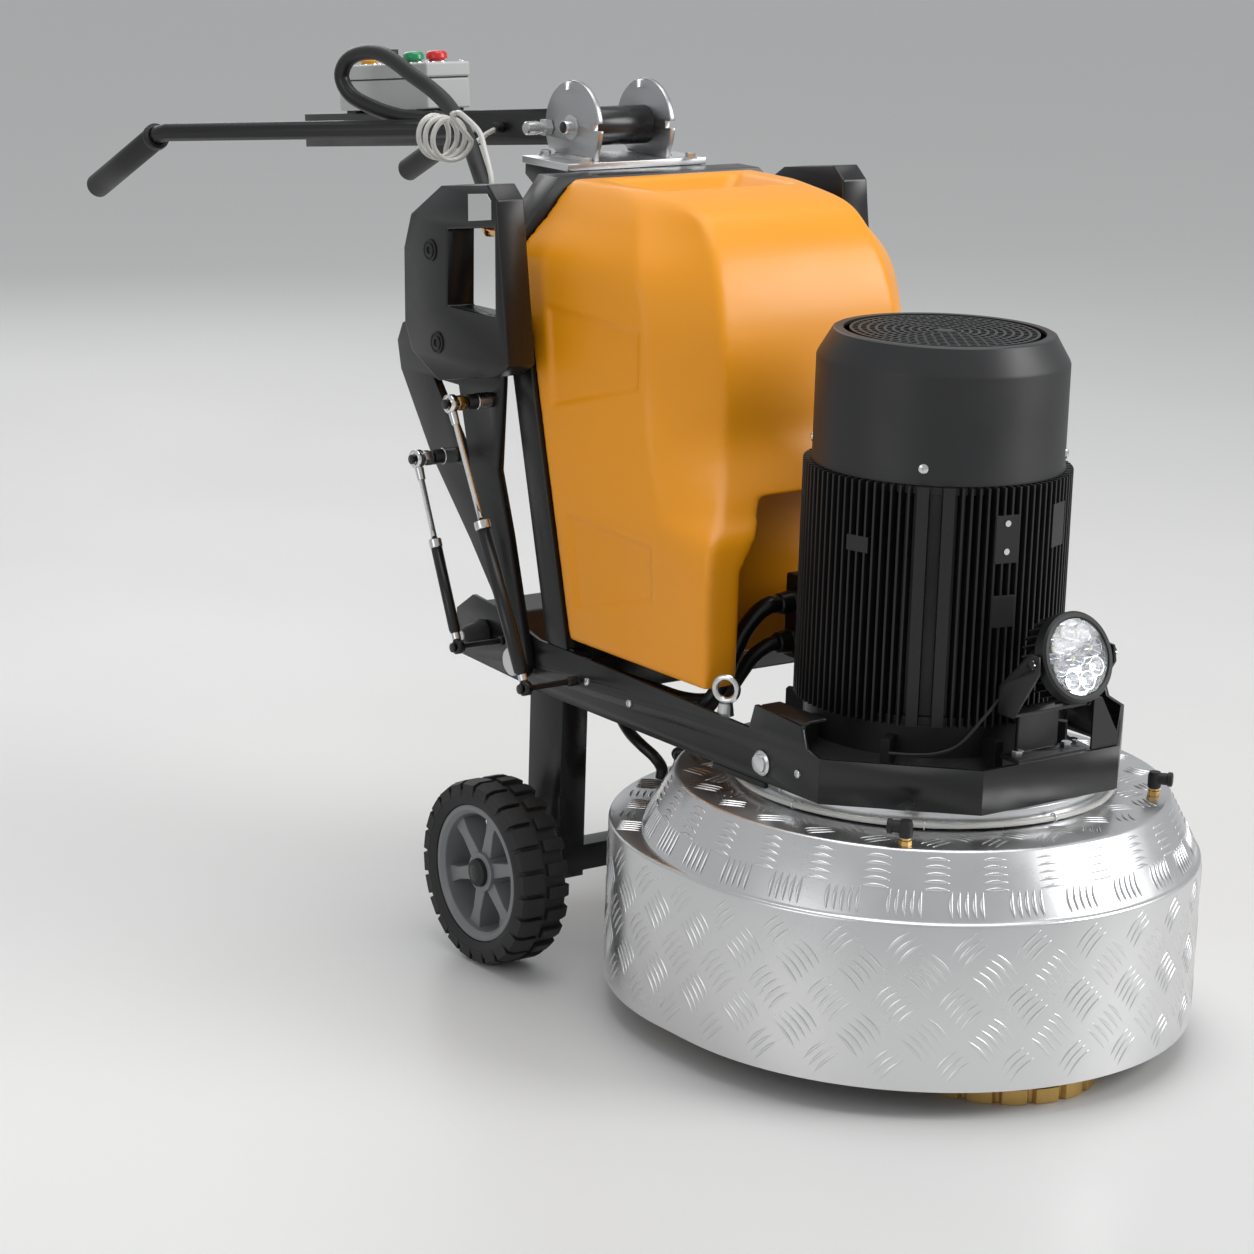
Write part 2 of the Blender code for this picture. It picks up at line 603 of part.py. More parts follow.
def gas_spring(tag, side, ends, barrel_r, barrel_top, rod_from):
    """A barrel hung on the rail's stud and a rod hung on the arm's stud.

    The rod's eye is wider than its stud: that pivot is the one left open, so it has play.
    """
    (x0, z0), (x1, z1) = ends
    length = math.hypot(x1 - x0, z1 - z0)
    lean = math.atan2(x1 - x0, z1 - z0)
    rod_r = 0.004
    eye_w = 0.010
    barrel = turned("gas_barrel_" + tag, [(rod_r + 0.0006, barrel_top),
                                          (barrel_r, barrel_top), (barrel_r, 0.024),
                                          (0.0055, 0.018), (0.0055, 0.004), (0.0, 0.004),
                                          (0.0, 0.030), (rod_r + 0.0006, 0.030)],
                    BLACK, 16, closed=True)
    eye = cylinder("eye", 0.0095, eye_w, STEEL, (0, 0, 0), "Y", 16)
    bore = cylinder("bore", 0.0045, 0.03, STEEL, (0, 0, 0), "Y", 16)
    barrel = cut(join(barrel, eye), bore)
    rod = cylinder("gas_rod_" + tag, rod_r, length - 0.004 - rod_from, CHROME,
                   (0, 0, (length - 0.004 + rod_from) / 2), segments=12)
    top_eye = cylinder("eye", 0.0125, eye_w, STEEL, (0, 0, length), "Y", 16)
    top_bore = cylinder("bore", 0.0085, 0.03, STEEL, (0, 0, length), "Y", 16)
    rod = cut(join(rod, top_eye), top_bore)
    for piece in (barrel, rod):
        piece.location = (x0, side * SPRING_Y, z0)
        piece.rotation_euler = (0, lean, 0)


# ---- wheels ------------------------------------------------------------------------------
def wheel(word, side):
    half = WHEEL_W / 2
    centre = (WHEEL_X, side * WHEEL_Y, WHEEL_R)
    shoulder = WHEEL_R - 0.007
    turned("tyre_" + word, [(shoulder, half), (WHEEL_R, half - 0.010), (WHEEL_R, -half + 0.010),
                            (shoulder, -half), (RIM_R + FIT, -half + 0.003),
                            (RIM_R + FIT, half - 0.003)], RUBBER, 32, closed=True, axis="Y",
           centre=centre)
    bore = AXLE_R + FIT
    turned("rim_" + word, [(0.026, half - 0.006), (0.026, 0.008), (0.078, 0.008),
                           (0.078, half - 0.004), (RIM_R, half - 0.004),
                           (RIM_R, -half + 0.004), (0.078, -half + 0.004), (0.078, -0.008),
                           (0.026, -0.008), (0.026, -half + 0.006), (bore, -half + 0.006),
                           (bore, half - 0.006)], RIM_GREY, 32, closed=True, axis="Y",
           centre=centre)


# ---- head: skirt, gear case, motor -------------------------------------------------------
def skirt():
    count = 48

    def ring(radius, shift, z):
        points = []
        for i in range(count):
            t = 2 * math.pi * i / count
            rear = shift if math.cos(t) < -1e-6 else 0.0
            points.append((radius * math.cos(t) - rear, radius * math.sin(t), z))
        return points

    wall = 0.003
    outer = [ring(SKIRT_R, SKIRT_REAR, 0.035), ring(SKIRT_R, SKIRT_REAR, 0.246),
             ring(SKIRT_R - 0.001, 0.0, 0.246 + 0.0005), ring(0.315, 0.0, 0.325),
             ring(0.1925, 0.0, 0.325)]
    inner = [ring(SKIRT_R - wall, SKIRT_REAR, 0.035), ring(SKIRT_R - wall, SKIRT_REAR, 0.243),
             ring(SKIRT_R - wall - 0.001, 0.0, 0.2435), ring(0.3135, 0.0, 0.322),
             ring(0.1925, 0.0, 0.322)]
    loft("skirt", outer + inner[::-1] + [outer[0]], TREAD, close_ends=False)


def gear_outline(teeth, pitch, internal=False, phase=0.0, narrow=0.40):
    """Points round a gear of straight-flanked teeth with backlash."""
    step = 2 * math.pi / teeth
    tip = pitch + (-0.72 if internal else 0.72) * MODULE
    root = pitch + (0.95 if internal else -0.95) * MODULE
    points = []
    for i in range(teeth):
        t = phase + i * step
        for angle, radius in ((-narrow * 0.72, root), (-narrow * 0.30, tip),
                              (narrow * 0.30, tip), (narrow * 0.72, root)):
            a = t + angle * step
            points.append((radius * math.cos(a), radius * math.sin(a)))
    return points


def spindle_places():
    return [math.radians(HEAD_ANGLE + 120 * i) for i in range(3)]


def gears():
    """Sun on the motor shaft, three planets on the spindles and a ring fixed in the case.

    A sun tooth and a ring tooth point at each spindle, whose gear shows them its gaps: the
    sun's and the ring's tooth counts both divide by three.
    """
    low, high = GEAR_Z
    middle, thick = (low + high) / 2, high - low
    first = spindle_places()[0]
    sun_pitch = MODULE * SUN_TEETH / 2
    planet_pitch = MODULE * PLANET_TEETH / 2
    ring_pitch = MODULE * RING_TEETH / 2
    planets = []
    for place in spindle_places():
        phase = place + math.pi + math.pi / PLANET_TEETH
        gear = plate("planet_gear", gear_outline(PLANET_TEETH, planet_pitch, phase=phase),
                     thick, STEEL, at=middle)
        gear.location = (ORBIT_R * math.cos(place), ORBIT_R * math.sin(place), middle)
        planets.append(gear)
    sun = plate("drive_gear", gear_outline(SUN_TEETH, sun_pitch, phase=first), thick, STEEL,
                at=middle)
    ring = plate("ring_gear", circle((0, 0), 0.3475, 48), thick, IRON,
                 holes=[gear_outline(RING_TEETH, ring_pitch, True, first)], at=middle)
    return sun, planets, ring


def grinding_head():
    """Gear case, drum, spindles and their diamond rings."""
    sun, planets, ring = gears()
    case = turned("gear_case", [(0.1915, 0.3275), (0.1915, 0.2425), (0.350, 0.2425),
                                (0.350, 0.2150), (0.344, 0.2150), (0.344, 0.2355),
                                (0.180, 0.2355), (0.180, 0.3215), (0.030, 0.3215),
                                (0.030, 0.3275)], ALUMINIUM, 48, closed=True)
    drum = turned("planet_drum", [(0.345, 0.196), (0.345, 0.130), (0.339, 0.130), (0.339, 0.176),
                                  (0.030, 0.176), (0.030, 0.196)], ALUMINIUM, 40, closed=True)
    shaft_r = 0.026
    holes = []
    for place in spindle_places():
        x, y = ORBIT_R * math.cos(place), ORBIT_R * math.sin(place)
        holes.append(cylinder("spindle_hole", shaft_r + 0.0004, 0.06, ALUMINIUM, (x, y, 0.186)))
    cut(drum, *holes)
    for number, (place, gear) in enumerate(zip(spindle_places(), planets), 1):
        x, y = ORBIT_R * math.cos(place), ORBIT_R * math.sin(place)
        spindle = turned("tool_head_%d" % number,
                         [(0, 0.2305), (shaft_r, 0.2305), (shaft_r, 0.070), (0.110, 0.066),
                          (0.116, 0.060), (0.116, 0.0223), (0, 0.0223)], BLACK, 28)
        spindle.location = (x, y, 0)
        set_origin(join(spindle, gear), (x, y, 0))
        turned("diamond_ring_%d" % number, [(TOOL_R - 0.003, 0.022), (TOOL_R, 0.019),
                                            (TOOL_R, 0.0), (0.075, 0.0), (0.075, 0.022)],
               GOLD, 32, closed=True, centre=(x, y, 0))
    return sun, ring, case


def adapter():
    """The plate between motor and skirt, with the two ears the head floats on."""
    body = turned("adapter_plate", [(0.237, 0.3485), (0.237, 0.3283), (0.032, 0.3283),
                                    (0.032, 0.3485)], ALUMINIUM, 48, closed=True)
    extras = []
    for _, side in SIDES:
        y = sorted((side * 0.212, side * 0.240))
        extras.append(box("ear", (-0.030, y[0], 0.340), (0.010, y[1], 0.396), ALUMINIUM))
        extras.append(cylinder("float_pin", 0.0120, 0.034, STEEL, (-0.010, side * 0.2440, 0.376),
                               "Y", 16))
    join(body, *extras)


def motor(sun):
    """Finned induction motor standing on the adapter plate."""
    fins = 36
    outline = []
    for i in range(fins):
        t = 2 * math.pi * i / fins
        for angle, radius in ((-0.28, 0.154), (-0.22, MOTOR_R), (0.22, MOTOR_R), (0.28, 0.154)):
            a = t + angle * 2 * math.pi / fins
            outline.append((radius * math.cos(a), radius * math.sin(a)))
    bore = 0.1365
    body = plate("motor_housing", outline, MOTOR_TOP - MOTOR_BASE, CAST_BLACK,
                 holes=[circle((0, 0), bore, 32)], at=(MOTOR_TOP + MOTOR_BASE) / 2)
    foot = turned("motor_flange", [(0.150, MOTOR_BASE + 0.010), (0.150, 0.372), (0.195, 0.368),
                                   (0.195, 0.3488), (SHAFT_R + 0.0006, 0.3488),
                                   (SHAFT_R + 0.0006, 0.420), (0.135, MOTOR_BASE + 0.010)],
                  CAST_BLACK, 36, closed=True)
    join(body, foot)
    turned("stator", [(bore - FIT, 0.700), (bore - FIT, 0.470), (0.086, 0.470), (0.086, 0.700)],
           COPPER, 32, closed=True)
    rotor = turned("motor_rotor", [(0, 0.835), (0.014, 0.835), (0.014, 0.750), (SHAFT_R, 0.748),
                                   (SHAFT_R, 0.695), (0.085, 0.695), (0.085, 0.475),
                                   (SHAFT_R, 0.475), (SHAFT_R, 0.206), (0, 0.206)], STEEL, 32)
    join(rotor, sun)
    hub = turned("cooling_fan", [(0.034, 0.830), (0.034, 0.792), (0.135, 0.792), (0.135, 0.788),
                                 (0.0143, 0.788), (0.0143, 0.830)], BLACK, 32, closed=True)
    blades = []
    for i in range(8):
        blade = box("blade", (0.030, -0.002, 0.790), (0.130, 0.002, 0.826), BLACK)
        t = 2 * math.pi * i / 8
        blade.location = (0.080 * math.cos(t), 0.080 * math.sin(t), 0.808)
        blade.rotation_euler = (0, 0, t)
        blades.append(blade)
    join(hub, *blades)
    wall = 0.003
    inner = FAN_COVER_R - wall
    turned("fan_cover", [(0, FAN_COVER_TOP), (0.139, FAN_COVER_TOP), (FAN_COVER_R, 0.867),
                         (FAN_COVER_R, MOTOR_TOP + 0.0003), (inner, MOTOR_TOP + 0.0003),
                         (inner, 0.866), (0.1375, FAN_COVER_TOP - wall),
                         (0, FAN_COVER_TOP - wall)], CAST_BLACK, 40)
    terminal_box()


def terminal_box():
    """The connection box on the motor's rear, with one gland pointing right and down."""
    body = box("terminal_box", (-0.226, -0.056, 0.440), (-MOTOR_R - 0.001, 0.056, 0.552),
               CAST_BLACK, 0.004)
    glands = [cylinder("gland", 0.016, 0.034, CAST_BLACK, (-0.199, -0.070, 0.518), "Y", 16),
              cylinder("gland", 0.016, 0.034, CAST_BLACK, (-0.199, -0.070, 0.466), "Y", 16)]
    join(body, *glands)


def lamp():
    """The round work lamp; its housing tilts in the fork."""
    x, y, z = LAMP
    depth = 0.046
    housing = turned("lamp_housing", [(0.0, -0.010), (0.047, -0.010), (0.047, 0.0),
                                      (LAMP_R - 0.003, 0.0), (LAMP_R, -0.003),
                                      (LAMP_R, -0.022), (0.047, -0.026), (0.040, -depth),
                                      (0.0, -depth)], CAST_BLACK, 32)
    lens = turned("lamp_lens", [(0.0, -0.001), (0.0467, -0.001), (0.0467, -0.0095),
                                (0.0, -0.0095)], GLASS, 32)
    way = Vector((math.cos(LAMP_TILT), 0, math.sin(LAMP_TILT)))
    for piece in (housing, lens):
        piece.rotation_euler = way.to_track_quat("Z", "Y").to_euler()
        piece.location = Vector(LAMP) + way * 0.013


# ---- hoses and cables --------------------------------------------------------------------
CONTROL_CABLE = [(-0.6297, -0.195, 0.9650), (-0.6413, -0.195, 0.9619), (-0.6567, -0.195, 0.9597),
                 (-0.733, -0.186, 0.974), (-0.782, -0.166, 0.994), (-0.832, -0.146, 1.018),
                 (-0.880, -0.127, 1.042), (-0.930, -0.111, 1.064), (-0.978, -0.100, 1.085),
                 (-1.024, -0.095, 1.101), (-1.077, -0.095, 1.117), (-1.168, -0.095, 1.142),
                 (-1.237, -0.100, 1.133), (-1.262, -0.104, 1.104), (-1.246, -0.098, 1.075),
                 (-1.205, -0.080, 1.058), (-1.165, -0.064, 1.050), (-1.137, -0.0491, 1.049),
                 (-1.1235, -0.0400, 1.049)]
WATER_TUBE = [(-0.828, -0.182, 1.092), (-0.810, -0.186, 1.091), (-0.767, -0.187, 1.073),
              (-0.739, -0.196, 1.053), (-0.711, -0.207, 1.033), (-0.6895, -0.216, 1.012),
              (-0.684, -0.222, 0.985), (-0.683, -0.222, 0.9667)]
MOTOR_CABLE = [(-0.199, -0.0880, 0.518), (-0.199, -0.0940, 0.518), (-0.199, -0.1000, 0.518),
               (-0.205, -0.114, 0.508),
               (-0.212, -0.131, 0.484), (-0.212, -0.147, 0.455), (-0.210, -0.162, 0.425),
               (-0.216, -0.178, 0.395), (-0.232, -0.190, 0.373), (-0.262, -0.202, 0.366),
               (-0.310, -0.212, 0.368), (-0.370, -0.220, 0.376), (-0.4193, -0.220, 0.376)]
HEAD_HOSE = [(-0.4600, -0.150, 0.3595), (-0.459, -0.150, 0.338), (-0.445, -0.152, 0.315),
             (-0.420, -0.155, 0.300), (-0.392, -0.156, 0.290), (-0.370, -0.150, 0.278),
             (-0.366, -0.140, 0.262), (-0.366, -0.140, 0.2475)]


def cables():
    tube("control_cable", smooth_route(CONTROL_CABLE), 0.0115, RUBBER)
    tube("motor_cable", smooth_route(MOTOR_CABLE), 0.0115, RUBBER)
    tube("head_hose", smooth_route(HEAD_HOSE), 0.008, RUBBER)
    coil()


def coil():
    """The water tube's coil as one turned ring, and the tube from it down to the mast."""
    ring = turned("water_coil", [(0.032, 0.033), (0.032, -0.033), (0.024, -0.033),
                                 (0.024, 0.033)], CLEAR, 24, closed=True)
    ring.location = (-0.858, -0.186, 1.055)
    ring.rotation_euler = (0, math.pi / 2, 0)
    tube("water_tube", smooth_route(WATER_TUBE), 0.004, CLEAR)


# ---- build ------------------------------------------------------------------------------------
rails()
front_tray()
cross_beams()
mast()
tank()
index_plates()
handle()
control_station()
lock_plunger()
for word, side in SIDES:
    weight_arm(word, side)
    gas_spring("long_" + word, side, LONG_SPRING, 0.0098, 0.232, 0.120)
    gas_spring("short_" + word, side, SHORT_SPRING, 0.0078, 0.150, 0.090)
    wheel(word, side)
skirt()
sun_gear, ring_gear, gear_case = grinding_head()
join(gear_case, ring_gear)
adapter()
motor(sun_gear)
lamp()
cables()

for piece in PARTS.objects:
    if piece.type == "MESH":
        piece.data.shade_smooth()
        piece.data.set_sharp_from_angle(angle=math.radians(35))
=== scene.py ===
"""Looks of a walk-behind planetary floor grinder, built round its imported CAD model.

Shapes are written from the grinding head's axis, as the CAD is: x forward, y to the
machine's left, z up from the floor. HEAD_X, read from the frame, carries them over.
"""

import math

import bmesh
import bpy
from mathutils import Matrix, Vector


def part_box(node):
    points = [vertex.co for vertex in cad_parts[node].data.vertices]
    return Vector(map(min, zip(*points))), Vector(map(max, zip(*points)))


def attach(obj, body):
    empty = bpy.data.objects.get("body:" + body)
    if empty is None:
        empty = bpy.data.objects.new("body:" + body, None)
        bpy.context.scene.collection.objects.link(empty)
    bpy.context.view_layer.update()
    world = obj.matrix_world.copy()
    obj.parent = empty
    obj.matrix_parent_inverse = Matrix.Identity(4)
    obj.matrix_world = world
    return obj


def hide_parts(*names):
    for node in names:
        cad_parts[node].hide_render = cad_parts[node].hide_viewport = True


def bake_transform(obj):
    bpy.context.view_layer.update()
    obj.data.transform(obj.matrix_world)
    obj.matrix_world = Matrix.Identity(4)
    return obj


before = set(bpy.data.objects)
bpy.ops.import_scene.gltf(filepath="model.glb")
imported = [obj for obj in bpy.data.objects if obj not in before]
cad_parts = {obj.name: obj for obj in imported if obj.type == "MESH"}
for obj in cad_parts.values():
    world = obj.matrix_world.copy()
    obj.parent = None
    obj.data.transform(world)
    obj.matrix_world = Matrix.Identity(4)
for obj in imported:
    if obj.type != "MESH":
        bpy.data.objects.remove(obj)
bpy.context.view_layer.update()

skirt_low, skirt_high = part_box("skirt")
SKIRT_R = (skirt_high[1] - skirt_low[1]) / 2
HEAD_X = skirt_high[0] - SKIRT_R
SKIRT_REAR = (skirt_high[0] - skirt_low[0]) - 2 * SKIRT_R
SIDES = (("right", -1), ("left", 1))
TURN = 2 * math.pi
CABLE_R = 0.0115            # the control cable and the motor cable
WATER_TUBE_R = 0.0038


def row(x, y, z):
    """A point of the machine in the row's frame."""
    return Vector((x + HEAD_X, y, z))


def add_object(name, data, place=(0, 0, 0)):
    made = bpy.data.objects.new(name, data)
    bpy.context.scene.collection.objects.link(made)
    made.location = place
    return made


# ---- camera ---------------------------------------------------------------------------
def make_camera():
    azimuth, pitch, roll = math.radians(53.6), math.radians(14.07), math.radians(1.79)
    back = Vector((math.sin(azimuth) * math.cos(pitch), -math.cos(azimuth) * math.cos(pitch),
                   math.sin(pitch)))
    level = Vector((math.cos(azimuth), math.sin(azimuth), 0))
    upright = back.cross(level)
    right = level * math.cos(roll) + upright * math.sin(roll)
    up = upright * math.cos(roll) - level * math.sin(roll)
    data = bpy.data.cameras.new("camera")
    data.lens = 100.1
    data.sensor_width = 36
    camera = add_object("camera", data)
    matrix = Matrix((right, up, back)).transposed().to_4x4()
    matrix.translation = row(3.219, -2.848, 1.581)
    camera.matrix_world = matrix
    bpy.context.scene.camera = camera


make_camera()


# ---- materials ------------------------------------------------------------------------
def set_inputs(node, values):
    for name, value in values.items():
        node.inputs[name].default_value = value


def material(name, colour, roughness, metallic=0.0, grain=400.0, depth=0.0001, spread=0.08,
             shade=0.12, stretch=(1, 1, 1), coat=0.0, transmission=0.0, glow=0.0, patch=9.0):
    """A Principled finish whose roughness, tone and fine relief vary over the surface.

    grain is the relief's scale and depth its height in metres; spread and shade are how far
    roughness and tone wander, in patches about 1 / patch metres across.
    """
    made = bpy.data.materials.new(name)
    made.use_nodes = True
    nodes, links = made.node_tree.nodes, made.node_tree.links
    shader = nodes["Principled BSDF"]
    set_inputs(shader, {"Metallic": metallic, "Coat Weight": coat, "Coat Roughness": 0.15,
                        "Transmission Weight": transmission})
    if glow:
        set_inputs(shader, {"Emission Color": (*colour, 1), "Emission Strength": glow})
    place = nodes.new("ShaderNodeTexCoord").outputs["Object"]
    scale = nodes.new("ShaderNodeMapping")
    set_inputs(scale, {"Scale": stretch})
    links.new(place, scale.inputs["Vector"])
    broad = nodes.new("ShaderNodeTexNoise")
    set_inputs(broad, {"Scale": patch, "Detail": 6})
    links.new(place, broad.inputs["Vector"])
    fine = nodes.new("ShaderNodeTexNoise")
    set_inputs(fine, {"Scale": grain, "Detail": 3})
    links.new(scale.outputs["Vector"], fine.inputs["Vector"])
    rough = nodes.new("ShaderNodeMapRange")
    set_inputs(rough, {"From Min": 0.3, "From Max": 0.7, "To Min": max(roughness - spread, 0.03),
                       "To Max": min(roughness + spread, 1.0)})
    links.new(broad.outputs["Fac"], rough.inputs["Value"])
    links.new(rough.outputs["Result"], shader.inputs["Roughness"])
    tone = nodes.new("ShaderNodeMix")
    tone.data_type = "RGBA"
    set_inputs(tone, {"A": (*[c * (1 - shade) for c in colour], 1),
                      "B": (*[min(c * (1 + shade), 1) for c in colour], 1)})
    links.new(broad.outputs["Fac"], tone.inputs["Factor"])
    links.new(tone.outputs["Result"], shader.inputs["Base Color"])
    bump = nodes.new("ShaderNodeBump")
    set_inputs(bump, {"Distance": depth, "Strength": 0.6})
    links.new(fine.outputs["Fac"], bump.inputs["Height"])
    links.new(bump.outputs["Normal"], shader.inputs["Normal"])
    return made


PAINT = material("satin_black_paint", (0.0075, 0.0075, 0.008), 0.30, grain=900, depth=0.00008)
CASTING = material("black_casting", (0.008, 0.008, 0.0085), 0.45, grain=350, depth=0.0003)
COVER = material("fan_cover_paint", (0.017, 0.017, 0.018), 0.45, grain=700, depth=0.0001)
ORANGE = material("orange_moulding", (0.93, 0.345, 0.003), 0.40, grain=600, depth=0.00012,
                  shade=0.05, coat=0.08, patch=4)
TREAD = material("tread_plate", (0.74, 0.74, 0.745), 0.30, 1.0, grain=160, depth=0.0001,
                 stretch=(1, 1, 6), spread=0.07, shade=0.05)
ALUMINIUM = material("machined_aluminium", (0.76, 0.77, 0.78), 0.3, 1.0, grain=500,
                     depth=0.00005, stretch=(1, 1, 8), shade=0.05)
STEEL = material("brushed_plate_steel", (0.50, 0.50, 0.51), 0.36, 1.0, grain=260, depth=0.0001,
                 stretch=(1, 6, 6), spread=0.1, shade=0.1)
ZINC = material("zinc_fastener", (0.70, 0.70, 0.70), 0.25, 1.0, grain=500, depth=0.00005)
CHROME = material("polished_chrome", (0.85, 0.85, 0.85), 0.1, 1.0, spread=0.04, shade=0.03)
BRASS = material("brass_fitting", (0.72, 0.45, 0.16), 0.25, 1.0, grain=500, depth=0.00005)
IRON = material("gear_iron", (0.30, 0.30, 0.30), 0.45, 0.9, grain=300, depth=0.0002)
COPPER = material("copper_winding", (0.60, 0.25, 0.12), 0.4, 1.0, grain=300, depth=0.0003)
RUBBER = material("soft_black_rubber", (0.010, 0.010, 0.010), 0.55, grain=700, depth=0.00012)
CABLE = material("cable_sheath", (0.009, 0.009, 0.009), 0.38, grain=300, depth=0.0001)
TYRE = material("tyre_rubber", (0.014, 0.014, 0.014), 0.62, grain=450, depth=0.0002)
RIM = material("grey_rim_plastic", (0.21, 0.215, 0.22), 0.42, grain=500, depth=0.00015)
BOX = material("light_grey_enclosure", (0.50, 0.51, 0.50), 0.45, grain=600, depth=0.0001,
               shade=0.04)
GOLD = material("diamond_segment", (0.62, 0.40, 0.13), 0.45, 0.8, grain=220, depth=0.0004,
                shade=0.25, patch=30)
GLASS = material("clear_lens", (0.95, 0.97, 1.0), 0.04, transmission=0.95, spread=0.02,
                 shade=0.0)
LAMP_CHIP = material("led_chip", (1.0, 0.86, 0.45), 0.4, glow=0.25)
RED = material("red_cap", (0.62, 0.012, 0.01), 0.28, coat=0.3, shade=0.05)
GREEN = material("green_cap", (0.005, 0.27, 0.10), 0.28, coat=0.3, shade=0.05)
YELLOW = material("yellow_cap", (0.85, 0.40, 0.012), 0.28, coat=0.3, shade=0.05)
CLEAR = material("clear_hose", (0.80, 0.79, 0.75), 0.12, transmission=0.35, shade=0.04)


# ---- shapes ---------------------------------------------------------------------------
def towards(place, way):
    """A matrix that stands a shape built along +Z at place, pointing along way."""
    turn = Vector(way).to_track_quat("Z", "Y").to_matrix().to_4x4()
    return Matrix.Translation(Vector(place)) @ turn


def spin(angle):
    return Matrix.Rotation(angle, 4, "Z")


class Shape:
    """One piece of the machine, gathered from closed solids."""

    def __init__(self):
        self.bm = bmesh.new()

    def move(self, verts, matrix):
        bmesh.ops.transform(self.bm, matrix=matrix, verts=verts)

    def block(self, low, high, matrix=None):
        size = [h - l for l, h in zip(low, high)]
        middle = Vector([(h + l) / 2 for l, h in zip(low, high)])
        verts = bmesh.ops.create_cube(self.bm, size=1.0)["verts"]
        bmesh.ops.scale(self.bm, vec=size, verts=verts)
        self.move(verts, Matrix.Translation(middle))
        if matrix is not None:
            self.move(verts, matrix)
        return self

    def turned(self, profile, matrix=None, steps=48, closed=False):
        """Revolve (radius, height) points about Z; a radius of 0 is a pole."""
        rings = []
        made = []
        for r, z in profile:
            count = 1 if r < 1e-7 else steps
            ring = [self.bm.verts.new((r * math.cos(TURN * i / steps),
                                       r * math.sin(TURN * i / steps), z))
                    for i in range(count)]
            rings.append(ring)
            made += ring
        pairs = list(zip(rings, rings[1:]))
        if closed:
            pairs.append((rings[-1], rings[0]))
        for a, b in pairs:
            for i in range(steps):
                j = (i + 1) % steps
                corners = [a[i % len(a)], a[j % len(a)], b[j % len(b)], b[i % len(b)]]
                unique = list(dict.fromkeys(corners))
                if len(unique) > 2:
                    self.bm.faces.new(unique)
        if matrix is not None:
            self.move(made, matrix)
        return self

    def rod(self, start, end, radius, far_radius=None, sides=20, edge=0.0):
        """A straight round bar, with its ends' edges broken where edge is given."""
        start, end = Vector(start), Vector(end)
        far = radius if far_radius is None else far_radius
        length = (end - start).length
        profile = [(0, 0), (radius - edge, 0), (radius, edge), (far, length - edge),
                   (far - edge, length), (0, length)]
        if not edge:
            profile = [(0, 0), (radius, 0), (far, length), (0, length)]
        return self.turned(profile, towards(start, end - start), sides)

    def hexagon(self, place, way, across, height):
        """A hexagon nut or bolt head standing on place, with a round chamfer."""
        r = across / math.sqrt(3)
        self.turned([(0, 0), (r, 0), (r, height * 0.8), (r * 0.88, height), (0, height)],
                    towards(place, way), 6)
        return self

    def socket_screw(self, place, way, radius, height):
        """A cap screw with its hexagon socket."""
        self.turned([(0, 0), (radius, 0), (radius, height * 0.85), (radius * 0.9, height),
                     (radius * 0.55, height), (radius * 0.5, height * 0.4),
                     (0, height * 0.4)], towards(place, way), 18)
        return self

    def pan_screw(self, place, way, radius):
        self.turned([(0, 0), (radius, 0), (radius * 0.93, radius * 0.35),
                     (radius * 0.6, radius * 0.55), (radius * 0.28, radius * 0.6),
                     (radius * 0.2, radius * 0.3), (0, radius * 0.3)],
                    towards(place, way), 18)
        return self

    def hoop(self, centre, way, big, small, around=36, sides=10):
        profile = [(big + small * math.cos(TURN * i / sides),
                    small * math.sin(TURN * i / sides)) for i in range(sides)]
        return self.turned(profile, towards(centre, way), around, closed=True)

    def loft(self, rings, caps=True, closed=False):
        loops = [[self.bm.verts.new(p) for p in ring] for ring in rings]
        count = len(loops[0])
        pairs = list(zip(loops, loops[1:]))
        if closed:
            pairs.append((loops[-1], loops[0]))
        for a, b in pairs:
            for i in range(count):
                j = (i + 1) % count
                self.bm.faces.new((a[i], a[j], b[j], b[i]))
        if caps and not closed:
            self.bm.faces.new(loops[0])
            self.bm.faces.new(loops[-1])
        return self

    def prism(self, outline, plane, low, high):
        """An outline given in its plane, run from low to high across it."""
        def point(a, b, c):
            return {"XY": (a, b, c), "XZ": (a, c, b), "YZ": (c, a, b)}[plane]
        return self.loft([[point(a, b, low) for a, b in outline],
                          [point(a, b, high) for a, b in outline]])

    def tube(self, points, radius, sides=12, ridges=0.0):
        """A round tube along points; ridges swells every other ring."""
        path = [Vector(p) for p in points]
        rings = []
        across = None
        for i, place in enumerate(path):
            way = (path[min(i + 1, len(path) - 1)] - path[max(i - 1, 0)]).normalized()
            if across is None:
                across = way.orthogonal().normalized()
            across = (across - way * across.dot(way)).normalized()
            other = way.cross(across)
            r = radius + (ridges if i % 2 else 0.0)
            rings.append([place + (across * math.cos(t) + other * math.sin(t)) * r
                          for t in (TURN * k / sides for k in range(sides))])
        return self.loft(rings)

    def as_mesh(self, name):
        bmesh.ops.recalc_face_normals(self.bm, faces=self.bm.faces)
        mesh = bpy.data.meshes.new(name)
        self.bm.to_mesh(mesh)
        self.bm.free()
        return mesh

    def finish(self, name, finish, body, replaced=(), bevel=0.0, sharp=35, segments=2,
               slot=None):
        """Make the object, give it its finish and set it on its CAD body."""
        mesh = self.as_mesh(name)
        mesh.shade_smooth()
        mesh.set_sharp_from_angle(angle=math.radians(sharp))
        mesh.materials.append(finish)
        piece = add_object(name, mesh, (HEAD_X, 0, 0))
        if bevel:
            add_bevel(piece, bevel, segments)
        if body:
            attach(piece, body)
        if replaced:
            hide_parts(*replaced)
        return piece


